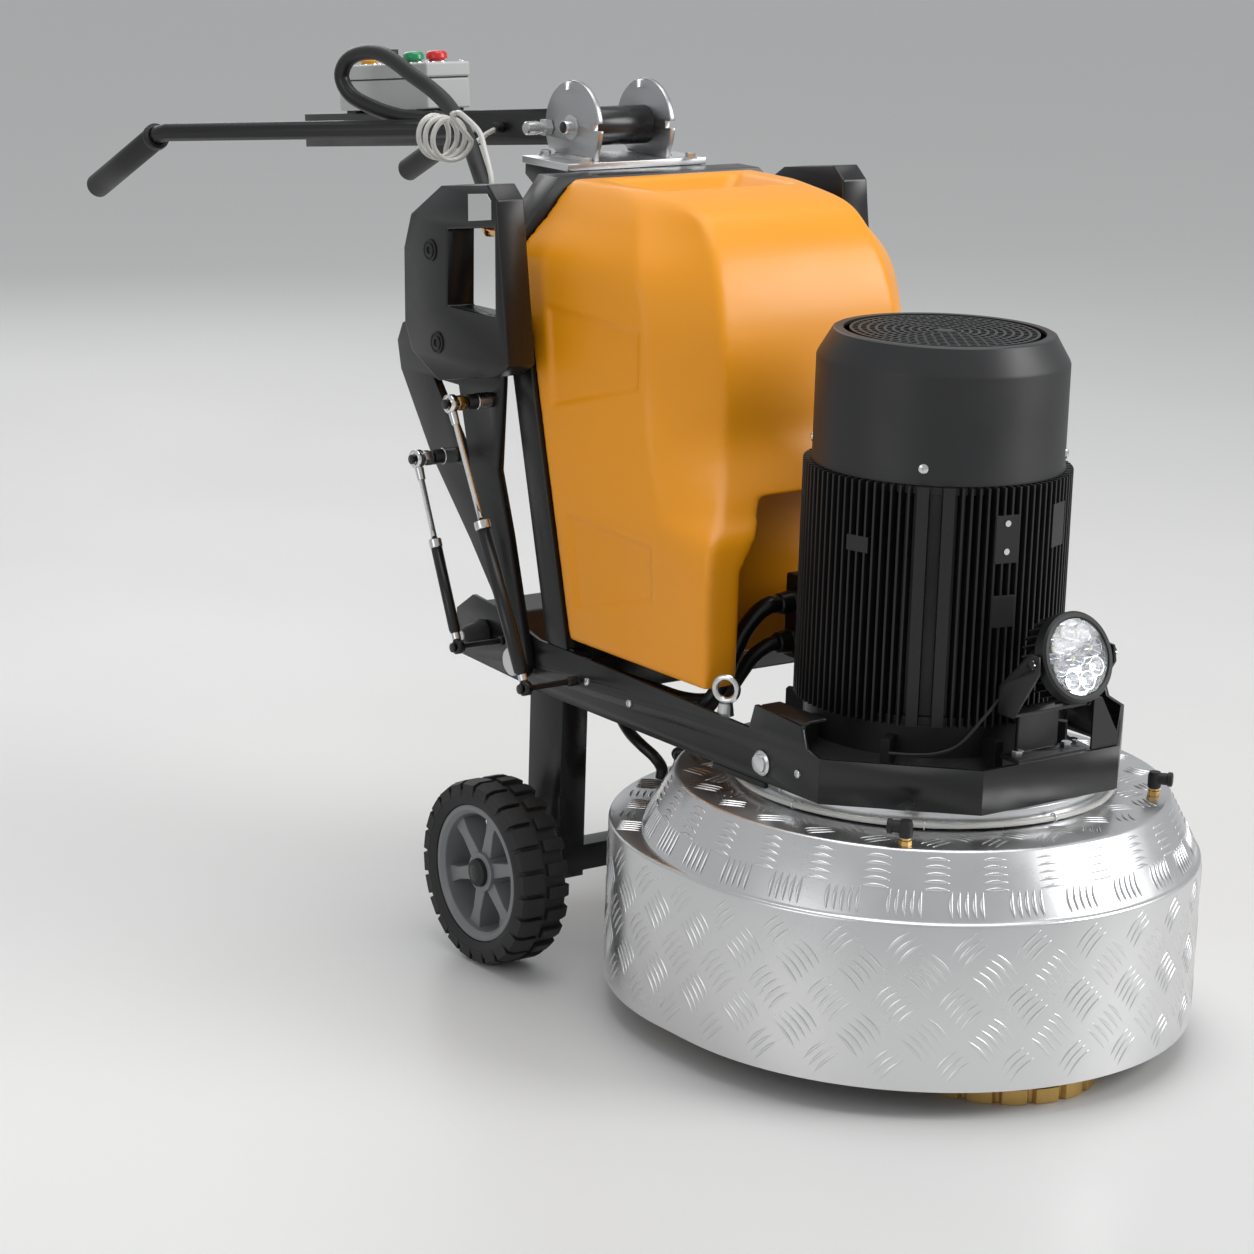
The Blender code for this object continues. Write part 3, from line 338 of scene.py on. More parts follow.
def add_bevel(piece, width, segments=2):
    edge = piece.modifiers.new("rounded", "BEVEL")
    edge.width = width
    edge.segments = segments
    edge.limit_method = "ANGLE"
    edge.angle_limit = math.radians(32)
    edge.harden_normals = True


def keep_node(name, finish, bevel=0.0, sharp=35):
    """Show a CAD node itself, with a finish and its sharp edges broken."""
    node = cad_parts[name]
    node.data.materials.clear()
    node.data.materials.append(finish)
    weld = node.modifiers.new("weld", "WELD")
    weld.merge_threshold = 0.00001
    if bevel:
        add_bevel(node, bevel)
    node.data.shade_smooth()
    if not bevel:
        node.data.set_sharp_from_angle(angle=math.radians(sharp))


def polar(radius, angle):
    return radius * math.cos(angle), radius * math.sin(angle)


def between(a, b, c, d, t):
    """A share t of the way from b to c, on the smooth curve through a, b, c and d."""
    return 0.5 * (2 * b + (c - a) * t + (2 * a - 5 * b + 4 * c - d) * t * t
                  + (3 * b - a - 3 * c + d) * t ** 3)


def smooth_route(points, steps=6):
    """Points read from a smooth curve through the route's own points."""
    path = [Vector(p) for p in points]
    path = [2 * path[0] - path[1], *path, 2 * path[-1] - path[-2]]
    curve = [between(*near, i / steps) for near in zip(path, path[1:], path[2:], path[3:])
             for i in range(steps)]
    return curve + [path[-2]]


def smooth_rows(rows, steps):
    """Rows of numbers read from a smooth curve through the given rows."""
    path = [rows[0], *rows, rows[-1]]
    curve = [[between(*values, i / steps) for values in zip(*near)]
             for near in zip(path, path[1:], path[2:], path[3:]) for i in range(steps)]
    return curve + [rows[-1]]


# ---- cables and hoses -----------------------------------------------------------------
CONTROL_CABLE = [(-0.6297, -0.195, 0.9650), (-0.6413, -0.195, 0.9619), (-0.6567, -0.195, 0.9597),
                 (-0.733, -0.186, 0.974), (-0.782, -0.166, 0.994), (-0.832, -0.146, 1.018),
                 (-0.880, -0.127, 1.042), (-0.930, -0.111, 1.064), (-0.978, -0.100, 1.085),
                 (-1.024, -0.095, 1.101), (-1.077, -0.095, 1.117), (-1.168, -0.095, 1.142),
                 (-1.237, -0.100, 1.133), (-1.262, -0.104, 1.104), (-1.246, -0.098, 1.075),
                 (-1.205, -0.080, 1.058), (-1.165, -0.064, 1.050), (-1.137, -0.0491, 1.049),
                 (-1.1235, -0.0400, 1.049)]
MOTOR_CABLE = [(-0.199, -0.0880, 0.518), (-0.199, -0.0940, 0.518), (-0.199, -0.1000, 0.518),
               (-0.205, -0.114, 0.508), (-0.212, -0.131, 0.484), (-0.212, -0.147, 0.455),
               (-0.210, -0.162, 0.425), (-0.216, -0.178, 0.395), (-0.232, -0.190, 0.373),
               (-0.262, -0.202, 0.366), (-0.310, -0.212, 0.368), (-0.370, -0.220, 0.376),
               (-0.4193, -0.220, 0.376)]
HEAD_HOSE = [(-0.4600, -0.150, 0.3595), (-0.459, -0.150, 0.338), (-0.445, -0.152, 0.315),
             (-0.420, -0.155, 0.300), (-0.392, -0.156, 0.290), (-0.370, -0.150, 0.278),
             (-0.366, -0.140, 0.262), (-0.366, -0.140, 0.2475)]
WATER_TUBE = [(-0.828, -0.182, 1.092), (-0.810, -0.186, 1.091), (-0.767, -0.187, 1.073),
              (-0.739, -0.196, 1.053), (-0.711, -0.207, 1.033), (-0.6895, -0.216, 1.012),
              (-0.684, -0.222, 0.985), (-0.683, -0.222, 0.9667)]
COIL_MIDDLE = Vector((-0.858, -0.186, 1.055))


SECOND_CABLE = [(-0.199, -0.086, 0.466), (-0.204, -0.098, 0.462), (-0.213, -0.113, 0.448),
                (-0.222, -0.124, 0.426), (-0.235, -0.133, 0.402), (-0.262, -0.143, 0.382),
                (-0.310, -0.153, 0.374), (-0.370, -0.162, 0.376), (-0.4190, -0.168, 0.376)]


def held_cable(name, points, radius, finish, replaced):
    """A cable held by the machine, laid along a smooth curve from start to end."""
    piece = Shape().tube(smooth_route(points), radius, 16).finish(name, finish, None,
                                                                  replaced, sharp=60)
    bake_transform(piece)


held_cable("control_cable_run", CONTROL_CABLE, CABLE_R, CABLE, ("control_cable",))
held_cable("motor_cable_run", MOTOR_CABLE, CABLE_R, CABLE, ("motor_cable",))
held_cable("head_hose_run", HEAD_HOSE, 0.008, CABLE, ("head_hose",))
held_cable("water_tube_run", WATER_TUBE, WATER_TUBE_R, CLEAR, ("water_tube",))
held_cable("second_motor_cable", SECOND_CABLE, 0.0095, CABLE, ())


def water_coil():
    """Three loose turns of the water tube, whose far end is held by the boom."""
    turn = towards(COIL_MIDDLE, (-1, 0, 0))
    points = []
    steps = 36
    for i in range(3 * steps + 1):
        t = i / steps
        radius = 0.0285 + 0.0008 * math.sin(2.1 * t * math.pi)
        angle = TURN * t + math.radians(185)
        drift = -0.029 + 0.058 * t / 3 + 0.002 * math.sin(5 * t)
        points.append(turn @ Vector((radius * math.cos(angle), radius * math.sin(angle), drift)))
    last = points[-1]
    points += smooth_route([last + (last - points[-2]), (-0.902, -0.150, 1.026),
                            (-0.925, -0.100, 1.030), (-0.945, -0.055, 1.046),
                            (-0.948, -0.034, 1.053)])
    lead = smooth_route([WATER_TUBE[0], (-0.829, -0.190, 1.087), points[0]], 4)[:-1]
    Shape().tube(lead + points, WATER_TUBE_R, 10).finish(
        "water_tube_coil", CLEAR, "handle", ("water_coil",), sharp=60)
    Shape().rod((-0.948, -0.0255, 1.054), (-0.948, -0.0400, 1.054), 0.0075, sides=20,
                edge=0.0015).finish("water_tube_socket", RUBBER, "handle", sharp=30)


water_coil()


# ---- tank -----------------------------------------------------------------------------
TANK_PANELS = [[(-0.512, 0.872), (-0.345, 0.860), (-0.340, 0.786), (-0.492, 0.744)],
               [(-0.446, 0.602), (-0.262, 0.597), (-0.256, 0.528), (-0.420, 0.484)]]


def inside_panel(x, z):
    """Depth inside the nearest embossed panel, in metres; negative outside them all."""
    best = -1.0
    for panel in TANK_PANELS:
        depth = 1.0
        for (ax, az), (bx, bz) in zip(panel, panel[1:] + panel[:1]):
            length = math.hypot(bx - ax, bz - az)
            depth = min(depth, -((bx - ax) * (z - az) - (bz - az) * (x - ax)) / length)
        best = max(best, depth)
    return best


def tank():
    """The moulded tank: lofted, recessed for the motor, then softened all over."""
    stations = [
        # z, rear x and half width, crease x and half width, front x and half width
        (0.4365, -0.438, 0.250, -0.236, 0.250, -0.138, 0.2495),
        (0.600, -0.482, 0.250, -0.240, 0.250, -0.140, 0.2495),
        (0.650, -0.496, 0.250, -0.262, 0.242, -0.175, 0.205),
        (0.720, -0.515, 0.250, -0.300, 0.228, -0.232, 0.158),
        (0.780, -0.531, 0.250, -0.322, 0.219, -0.247, 0.146),
        (0.874, -0.556, 0.250, -0.338, 0.2165, -0.262, 0.145),
        (0.936, -0.573, 0.250, -0.362, 0.211, -0.283, 0.139),
        (0.983, -0.586, 0.200, -0.400, 0.185, -0.313, 0.131),
        (1.012, -0.593, 0.169, -0.440, 0.160, -0.354, 0.128),
        (1.0265, -0.597, 0.150, -0.500, 0.145, -0.440, 0.122),
    ]
    rings = []
    for z, rear, half, crease, crease_half, front, front_half in smooth_rows(stations, 5):
        right = [(rear, 0), (rear, half), (crease, crease_half), (front, front_half), (front, 0)]
        left = [(x, -y) for x, y in right[-2:0:-1]]
        rings.append([(x, y, z) for x, y in right + left])
    body = Shape().loft(rings)
    recess = Shape().prism([(-0.195, 0.40), (0.195, 0.40), (0.195, 0.586), (0.125, 0.665),
                            (-0.125, 0.665), (-0.195, 0.586)], "YZ", -0.270, 0.0)
    scoop = Shape().loft([[(-0.536, -0.050, 0.978), (-0.479, -0.050, 0.978),
                           (-0.479, 0.050, 0.978), (-0.536, 0.050, 0.978)],
                          [(-0.578, -0.125, 1.034), (-0.437, -0.125, 1.034),
                           (-0.437, 0.125, 1.034), (-0.578, 0.125, 1.034)]])
    piece = body.finish("tank_moulding", ORANGE, "frame", ("water_tank",))
    for cutter in (recess, scoop):
        tool = add_object("cutter", cutter.as_mesh("cutter"), (HEAD_X, 0, 0))
        step = piece.modifiers.new("cut", "BOOLEAN")
        step.operation = "DIFFERENCE"
        step.object = tool
        bake(piece)
        bpy.data.objects.remove(tool, do_unlink=True)
    remesh = piece.modifiers.new("skin", "REMESH")
    remesh.mode = "VOXEL"
    remesh.voxel_size = 0.0045
    soften = piece.modifiers.new("soften", "SMOOTH")
    soften.factor = 0.6
    soften.iterations = 16
    bake(piece)
    for vertex in piece.data.vertices:
        x, y, z = vertex.co
        if abs(y) < 0.205 or abs(vertex.normal.y) < 0.8:
            continue
        depth = inside_panel(x, z)
        if depth > -0.004:
            share = min(max((depth + 0.004) / 0.007, 0), 1)
            vertex.co.y -= math.copysign(0.0042 * share * share * (3 - 2 * share), y)
    piece.data.shade_smooth()


def bake(piece):
    """Replace a piece's mesh with its own modified mesh."""
    bpy.context.view_layer.update()
    evaluated = piece.evaluated_get(bpy.context.evaluated_depsgraph_get())
    mesh = bpy.data.meshes.new_from_object(evaluated)
    piece.modifiers.clear()
    piece.data = mesh


tank()
Shape().turned([(0, 0.996), (0.024, 0.996), (0.028, 0.992), (0.0285, 0.979), (0.026, 0.977),
                (0, 0.977)], Matrix.Translation((-0.505, 0, 0)), 40).finish(
    "tank_filler_cap", RUBBER, "frame")


# ---- skirt ----------------------------------------------------------------------------
def plan(along):
    """Point and outward normal on the skirt wall, a distance along from the front."""
    quarter = math.pi * SKIRT_R / 2
    along %= 4 * quarter + 2 * SKIRT_REAR
    if along <= quarter:
        t, shift = along / SKIRT_R, 0.0
    elif along <= quarter + SKIRT_REAR:
        t, shift = math.pi / 2, along - quarter
    elif along <= 3 * quarter + SKIRT_REAR:
        t, shift = (along - SKIRT_REAR) / SKIRT_R, SKIRT_REAR
    elif along <= 3 * quarter + 2 * SKIRT_REAR:
        t, shift = 3 * math.pi / 2, 3 * quarter + 2 * SKIRT_REAR - along
    else:
        t, shift = (along - 2 * SKIRT_REAR) / SKIRT_R, 0.0
    out = Vector((math.cos(t), math.sin(t), 0))
    return out * SKIRT_R - Vector((shift, 0, 0)), out


WALL_FOOT, WALL_TOP = 0.035, 0.246
CONE_R, CONE_TOP = 0.315, 0.325


def on_wall(u, v):
    place, out = plan(u)
    return place + Vector((0, 0, WALL_FOOT + v)), out


def on_cone(u, v):
    rise = CONE_TOP - WALL_TOP
    slant = math.hypot(SKIRT_R - CONE_R, rise)
    share = v / slant
    radius = SKIRT_R - 0.003 + (CONE_R - SKIRT_R + 0.003) * share
    t = u / ((SKIRT_R + CONE_R) / 2)
    out = Vector((math.cos(t) * rise / slant, math.sin(t) * rise / slant,
                  (SKIRT_R - CONE_R) / slant))
    return Vector((radius * math.cos(t), radius * math.sin(t), WALL_TOP + rise * share)), out


def on_top(u, v):
    radius = CONE_R - v
    t = u / 0.275
    return Vector((radius * math.cos(t), radius * math.sin(t), CONE_TOP)), Vector((0, 0, 1))


def on_ledge(u, v):
    return Vector((-0.36 - v, u, WALL_TOP + 0.0002)), Vector((0, 0, 1))


def tread_bar(shape, surface, u, v, angle, length):
    """One raised, pointed and slightly bowed bar of the tread."""
    width, height, bow, stations = 0.0026, 0.0011, 0.0022, 9
    along = Vector((math.cos(angle), math.sin(angle)))
    across = Vector((-along.y, along.x))
    rings = []
    for i in range(stations):
        t = -1 + 2 * i / (stations - 1)
        fade = max(1 - t * t, 0.02)
        ring = []
        for side, lift in ((-1, -0.35), (-0.45, 1.0), (0.45, 1.0), (1, -0.35)):
            here = along * (t * length / 2)
            here = here + across * (side * width * fade + bow * (1 - t * t) - bow / 2)
            place, out = surface(u + here.x, v + here.y)
            rise = height * lift * fade ** 0.5 if lift > 0 else height * lift
            ring.append(place + out * rise)
        rings.append(ring)
    shape.loft(rings)


def tread_field(shape, surface, span, depth, pitch, length, diagonal, keep=None):
    """Groups of five bars in a chequered lattice over span by depth metres of plate."""
    columns = max(round(span / pitch), 1)
    step = span / columns
    rows = int(depth / pitch) + 2
    for i in range(columns):
        for j in range(rows):
            for half in (0, 1):
                u = (i + half / 2) * step
                v = (j + half / 2) * pitch - pitch * 0.18
                turn = (math.pi / 4 if half else -math.pi / 4) if diagonal else (
                    math.pi / 2 if half else 0.0)
                side = Vector((-math.sin(turn), math.cos(turn)))
                for k in range(-2, 3):
                    cu, cv = u + side.x * k * pitch * 0.125, v + side.y * k * pitch * 0.125
                    reach = length / 2 * abs(math.sin(turn)) + 0.002
                    if cv - reach < 0.004 or cv + reach > depth - 0.004:
                        continue
                    if keep and not keep(cu, cv):
                        continue
                    tread_bar(shape, surface, cu, cv, turn, length)


def skirt():
    count = 240
    length = TURN * SKIRT_R + 2 * SKIRT_REAR

    wall = [plan(length * i / count) for i in range(count)]

    def wall_ring(inset, z):
        return [place - out * inset + Vector((0, 0, z)) for place, out in wall]

    def round_ring(radius, z):
        """A ring about the head's axis whose points face those of the wall."""
        ways = [place.xy.normalized() for place, _ in wall]
        return [Vector((way.x * radius, way.y * radius, z)) for way in ways]

    edge = SKIRT_R - 0.004
    hole = 0.1925
    rings = [wall_ring(0, WALL_FOOT), wall_ring(0, WALL_TOP - 0.004),
             wall_ring(0.0008, WALL_TOP - 0.0014), wall_ring(0.003, WALL_TOP),
             round_ring(edge, WALL_TOP + 0.0003), round_ring(edge - 0.0018, WALL_TOP + 0.003),
             round_ring(CONE_R + 0.002, CONE_TOP - 0.0035),
             round_ring(CONE_R - 0.0005, CONE_TOP - 0.001), round_ring(CONE_R - 0.004, CONE_TOP),
             round_ring(hole, CONE_TOP), round_ring(hole, CONE_TOP - 0.003),
             round_ring(CONE_R - 0.004, CONE_TOP - 0.003),
             round_ring(edge - 0.004, WALL_TOP - 0.003), wall_ring(0.003, WALL_TOP - 0.004),
             wall_ring(0.003, WALL_FOOT)]
    Shape().loft(rings, closed=True).finish("skirt_shell", TREAD, "head",
                                            ("skirt",), sharp=50)
    bars = Shape()
    tread_field(bars, on_wall, length, WALL_TOP - WALL_FOOT, 0.081, 0.043, True)
    tread_field(bars, on_cone, TURN * 0.3375, 0.091, 0.074, 0.034, False)
    tread_field(bars, on_top, TURN * 0.275, 0.075, 0.070, 0.032, True)

    def on_crescent(u, v):
        x = -0.36 - v
        return (math.hypot(x, u) > SKIRT_R + 0.006
                and math.hypot(x + SKIRT_REAR, u) < SKIRT_R - 0.012)

    half_span, start = 0.30, 0.20       # the ledge's field, from its middle and its rear

    def crescent(u, v):
        return on_ledge(u - half_span, v - start)

    def keep_crescent(u, v):
        return on_crescent(u - half_span, v - start)

    tread_field(bars, crescent, 2 * half_span, 0.27, 0.070, 0.030, True, keep_crescent)
    bars.finish("skirt_tread_bars", TREAD, "head", sharp=80)
    bolts = Shape()
    for angle in (78, -78, 180):
        t = math.radians(angle)
        out = Vector((math.cos(t), math.sin(t), 0))
        for z in (0.333, 0.3345):
            bolts.hexagon(out * 0.222 + Vector((0, 0, z + 0.0145)), (0, 0, 1), 0.013, 0.006)
    bolts.finish("adapter_bolts", ZINC, "head", sharp=30)
    hem = Shape().loft([wall_ring(0.0032, 0.046), wall_ring(0.0070, 0.046),
                        wall_ring(0.0070, 0.0355), wall_ring(0.0032, 0.0355)], closed=True)
    hem.finish("skirt_rubber_hem", RUBBER, "head")


skirt()

# ---- motor ----------------------------------------------------------------------------
MOTOR_FOOT, MOTOR_TOP = 0.434, 0.734
PAD_ANGLE = math.radians(-41.5)         # where the motor's smooth pad faces the camera


def radial(angle, radius, z):
    return Vector((*polar(radius, angle), z))


def motor():
    shape = Shape()
    fins, root, tip = 96, 0.1515, 0.1688
    outline = []
    for i in range(fins):
        t = PAD_ANGLE + TURN * i / fins
        near_pad = min(i, fins - i) < 2.5
        for share, radius in ((-0.30, root), (-0.14, tip), (0.14, tip), (0.30, root)):
            r = root if near_pad else radius
            a = t + share * TURN / fins
            outline.append(polar(r, a))
    shape.prism(outline, "XY", MOTOR_FOOT, MOTOR_TOP)
    for offset in (-0.095, 0.095):
        strip = spin(PAD_ANGLE + offset)
        shape.block((0.148, -0.0075, MOTOR_FOOT), (0.1680, 0.0075, MOTOR_TOP), strip)
    for angle, low, high in ((-10, 0.640, 0.700), (-10, 0.560, 0.600), (22, 0.650, 0.705),
                             (-75, 0.645, 0.665), (100, 0.600, 0.680), (-140, 0.640, 0.690)):
        boss = spin(math.radians(angle))
        shape.block((0.150, -0.016, low), (0.1689, 0.016, high), boss)
    for z in (0.440, 0.728):
        shape.turned([(0.1565, z + 0.005), (0.1565, z - 0.005), (0.150, z - 0.005),
                      (0.150, z + 0.005)], None, 96, closed=True)
    shape.turned([(0.155, MOTOR_FOOT + 0.004), (0.155, 0.392), (0.172, 0.378), (0.195, 0.372),
                  (0.195, 0.3488), (0.026, 0.3488), (0.026, 0.420), (0.135, 0.440)],
                 None, 96, closed=True)
    for i in range(8):
        t = math.radians(22.5 + 45 * i)
        shape.block((0.150, -0.006, 0.372), (0.184, 0.006, 0.420),
                    spin(t + 0.2))
    shape.finish("motor_body", CASTING, "head", ("motor_housing",), bevel=0.0006,
                 segments=1)
    bolts = Shape()
    for i in range(8):
        t = math.radians(22.5 + 45 * i)
        bolts.hexagon(radial(t, 0.181, 0.3725), (0, 0, 1), 0.016, 0.008)
    for z in (0.655, 0.690):
        bolts.turned([(0, 0), (0.004, 0), (0.004, 0.0015), (0, 0.0015)],
                     towards(radial(math.radians(-10), 0.1686, z), radial(-0.17, 1, 0)), 14)
    bolts.finish("motor_flange_bolts", ZINC, "head", sharp=30)
    cover()
    terminal_box()


def cover():
    """The fan cover, with its pressed grille of staggered openings."""
    r, top = 0.158, 0.900
    Shape().turned([(0.126, top), (0.1365, top), (0.139, top - 0.0012), (0.1565, 0.869),
                    (r, 0.865), (r, 0.740), (r + 0.0012, 0.737), (r + 0.0012, MOTOR_TOP + 0.0004),
                    (r - 0.003, MOTOR_TOP + 0.0004), (r - 0.003, 0.864), (0.137, 0.895),
                    (0.126, 0.896)], None, 96, closed=True).finish(
        "fan_cover_shell", COVER, "head", ("fan_cover",), sharp=25)
    grille = Shape()
    step = 0.0105
    rings = 11
    for k in range(1, rings + 1):
        radius = 0.0115 + (k - 1) * step
        half = 0.0018
        grille.turned([(radius + half, top - 0.0005), (radius + half, top - 0.003),
                       (radius - half, top - 0.003), (radius - half, top - 0.0005)],
                      None, 96, closed=True)
        if k == rings:
            continue
        middle = radius + step / 2
        bars = max(round(TURN * middle / 0.0125), 6)
        for i in range(bars):
            t = TURN * (i + 0.5 * (k % 2)) / bars
            grille.block((radius + 0.001, -0.0017, top - 0.0028),
                         (radius + step - 0.001, 0.0017, top - 0.0008),
                         spin(t))
    grille.turned([(0, top - 0.0003), (0.0105, top - 0.0003), (0.0105, top - 0.003),
                   (0, top - 0.003)], None, 32)
    grille.finish("fan_grille", COVER, "head", sharp=40)
    screws = Shape()
    for i in range(4):
        t = math.radians(-47.6 + 90 * i)
        screws.pan_screw(radial(t, 0.1578, 0.755), radial(t, 1, 0), 0.0065)
    screws.finish("fan_cover_screws", ZINC, "head", sharp=30)


def terminal_box():
    box = Shape()
    box.block((-0.222, -0.056, 0.440), (-0.168, 0.056, 0.552))
    box.block((-0.226, -0.053, 0.443), (-0.221, 0.053, 0.549))
    box.finish("terminal_box_body", CASTING, "head", ("terminal_box",),
               bevel=0.004, segments=3)
    parts = Shape()
    for z in (0.518, 0.466):
        parts.hexagon((-0.199, -0.0555, z), (0, -1, 0), 0.030, 0.012)
        parts.rod((-0.199, -0.067, z), (-0.199, -0.0872, z), 0.0158, 0.0135, 24, 0.002)
    parts.rod((-0.199, -0.0872, 0.466), (-0.199, -0.0885, 0.466), 0.009, sides=16)
    parts.finish("terminal_box_glands", CABLE, "head", sharp=30)
    lid = Shape()
    for y in (-0.045, 0.045):
        for z in (0.452, 0.540):
            lid.pan_screw((-0.2255, y, z), (-1, 0, 0), 0.0045)
    lid.finish("terminal_box_screws", ZINC, "head", sharp=30)


motor()


# ---- wheels ---------------------------------------------------------------------------
wheel_low, wheel_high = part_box("tyre_right")
WHEEL_R = (wheel_high[2] - wheel_low[2]) / 2
WHEEL_W = wheel_high[1] - wheel_low[1]
WHEEL_X = (wheel_high[0] + wheel_low[0]) / 2 - HEAD_X
WHEEL_Y = abs(wheel_high[1] + wheel_low[1]) / 2
RIM_R = 0.092


def wheel(word, side):
    """Solid tyre with two staggered rows of lugs, on a six-spoked plastic rim."""
    centre = Vector((WHEEL_X, side * WHEEL_Y, WHEEL_R))
    stand = towards(centre, (0, -1, 0))
    half = WHEEL_W / 2
    tyre = Shape()
    base = WHEEL_R - 0.0065
    profile = [(base, 0.030), (base, -0.030), (base - 0.006, -half + 0.0015),
               (RIM_R + 0.010, -half + 0.0005), (RIM_R + 0.001, -half + 0.004),
               (RIM_R + 0.001, half - 0.004), (RIM_R + 0.010, half - 0.0005),
               (base - 0.006, half - 0.0015)]
    tyre.turned(profile, stand, 96, closed=True)
    lugs = 24
    for row_side in (-1, 1):
        for i in range(lugs):
            t = TURN * (i + (0.5 if row_side > 0 else 0)) / lugs
            rings = []
            for edge in (-0.33, 0.33):
                a = t + edge * TURN / lugs
                skew = 0.06 * edge * row_side
                ring = []
                for r, y in ((base - 0.004, 0.0025), (WHEEL_R, 0.0035), (WHEEL_R, 0.0270),
                             (WHEEL_R - 0.004, 0.0365), (base - 0.013, half),
                             (base - 0.015, 0.030)):
                    ring.append(stand @ Vector((r * math.cos(a + skew), r * math.sin(a + skew),
                                                row_side * y)))
                rings.append(ring)
            tyre.loft(rings)
    tyre.finish("tyre_tread_" + word, TYRE, "wheel_" + word, ("tyre_" + word,),
                bevel=0.0009, segments=1)
    rim = Shape()
    rim.turned([(RIM_R + 0.0006, half - 0.005), (RIM_R + 0.0006, -half + 0.005),
                (0.086, -half + 0.004), (0.080, -half + 0.010), (0.080, half - 0.010),
                (0.086, half - 0.004)], stand, 64, closed=True)
    rim.turned([(0.027, half - 0.012), (0.027, -half + 0.012), (0.0124, -half + 0.012),
                (0.0124, half - 0.012)], stand, 40, closed=True)
    spokes = 6
    for i in range(spokes):
        turn = spin(TURN * i / spokes + 0.3)
        spoke = [(0.024, -0.0105), (0.060, -0.0085), (0.083, -0.0125), (0.083, 0.0125),
                 (0.060, 0.0085), (0.024, 0.0105)]
        verts_before = len(rim.bm.verts)
        rim.prism(spoke, "XY", -0.013, 0.020)
        rim.bm.verts.ensure_lookup_table()
        rim.move(rim.bm.verts[verts_before:], stand @ turn)
    rim.finish("rim_spokes_" + word, RIM, "wheel_" + word, ("rim_" + word,),
               bevel=0.0016)
    cap = Shape()
    cap.turned([(0, 0.0335), (0.014, 0.0335), (0.0185, 0.031), (0.0195, 0.0255), (0.0135, 0.0255),
                (0.0128, 0.030), (0, 0.030)], towards(centre, (0, side, 0)), 32)
    cap.finish("wheel_cap_" + word, RUBBER, "wheel_" + word, sharp=30)


for word, side in SIDES:
    wheel(word, side)


# ---- grinding tools -------------------------------------------------------------------
def tools():
    for number in (1, 2, 3):
        low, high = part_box("diamond_ring_%d" % number)
        x, y = (low[0] + high[0]) / 2 - HEAD_X, (low[1] + high[1]) / 2
        ring = Shape()
        segments = 18
        outline = []
        for i in range(segments):
            for share, r in ((0.04, 0.1245), (0.28, 0.1250), (0.52, 0.1250), (0.76, 0.1245),
                             (0.84, 0.1175), (0.96, 0.1175)):
                t = TURN * (i + share) / segments
                outline.append(polar(r, t))
        hole = 0.078
        inner = [(hole / math.hypot(a, b) * a, hole / math.hypot(a, b) * b)
                 for a, b in outline]
        ring.loft([[(a, b, 0.0) for a, b in outline], [(a, b, 0.0195) for a, b in outline],
                   [(a, b, 0.0195) for a, b in inner], [(a, b, 0.0) for a, b in inner]],
                  closed=True)
        ring.move(ring.bm.verts, Matrix.Translation((x, y, 0)))
        ring.finish("diamond_segments_%d" % number, GOLD, "tool_%d" % number,
                    ("diamond_ring_%d" % number,), bevel=0.0008)
        keep_node("tool_head_%d" % number, PAINT)


tools()


# ---- lamp -----------------------------------------------------------------------------
LAMP = Vector((0.262, 0, 0.540))
LAMP_WAY = Vector((math.cos(math.radians(20)), 0, math.sin(math.radians(20))))


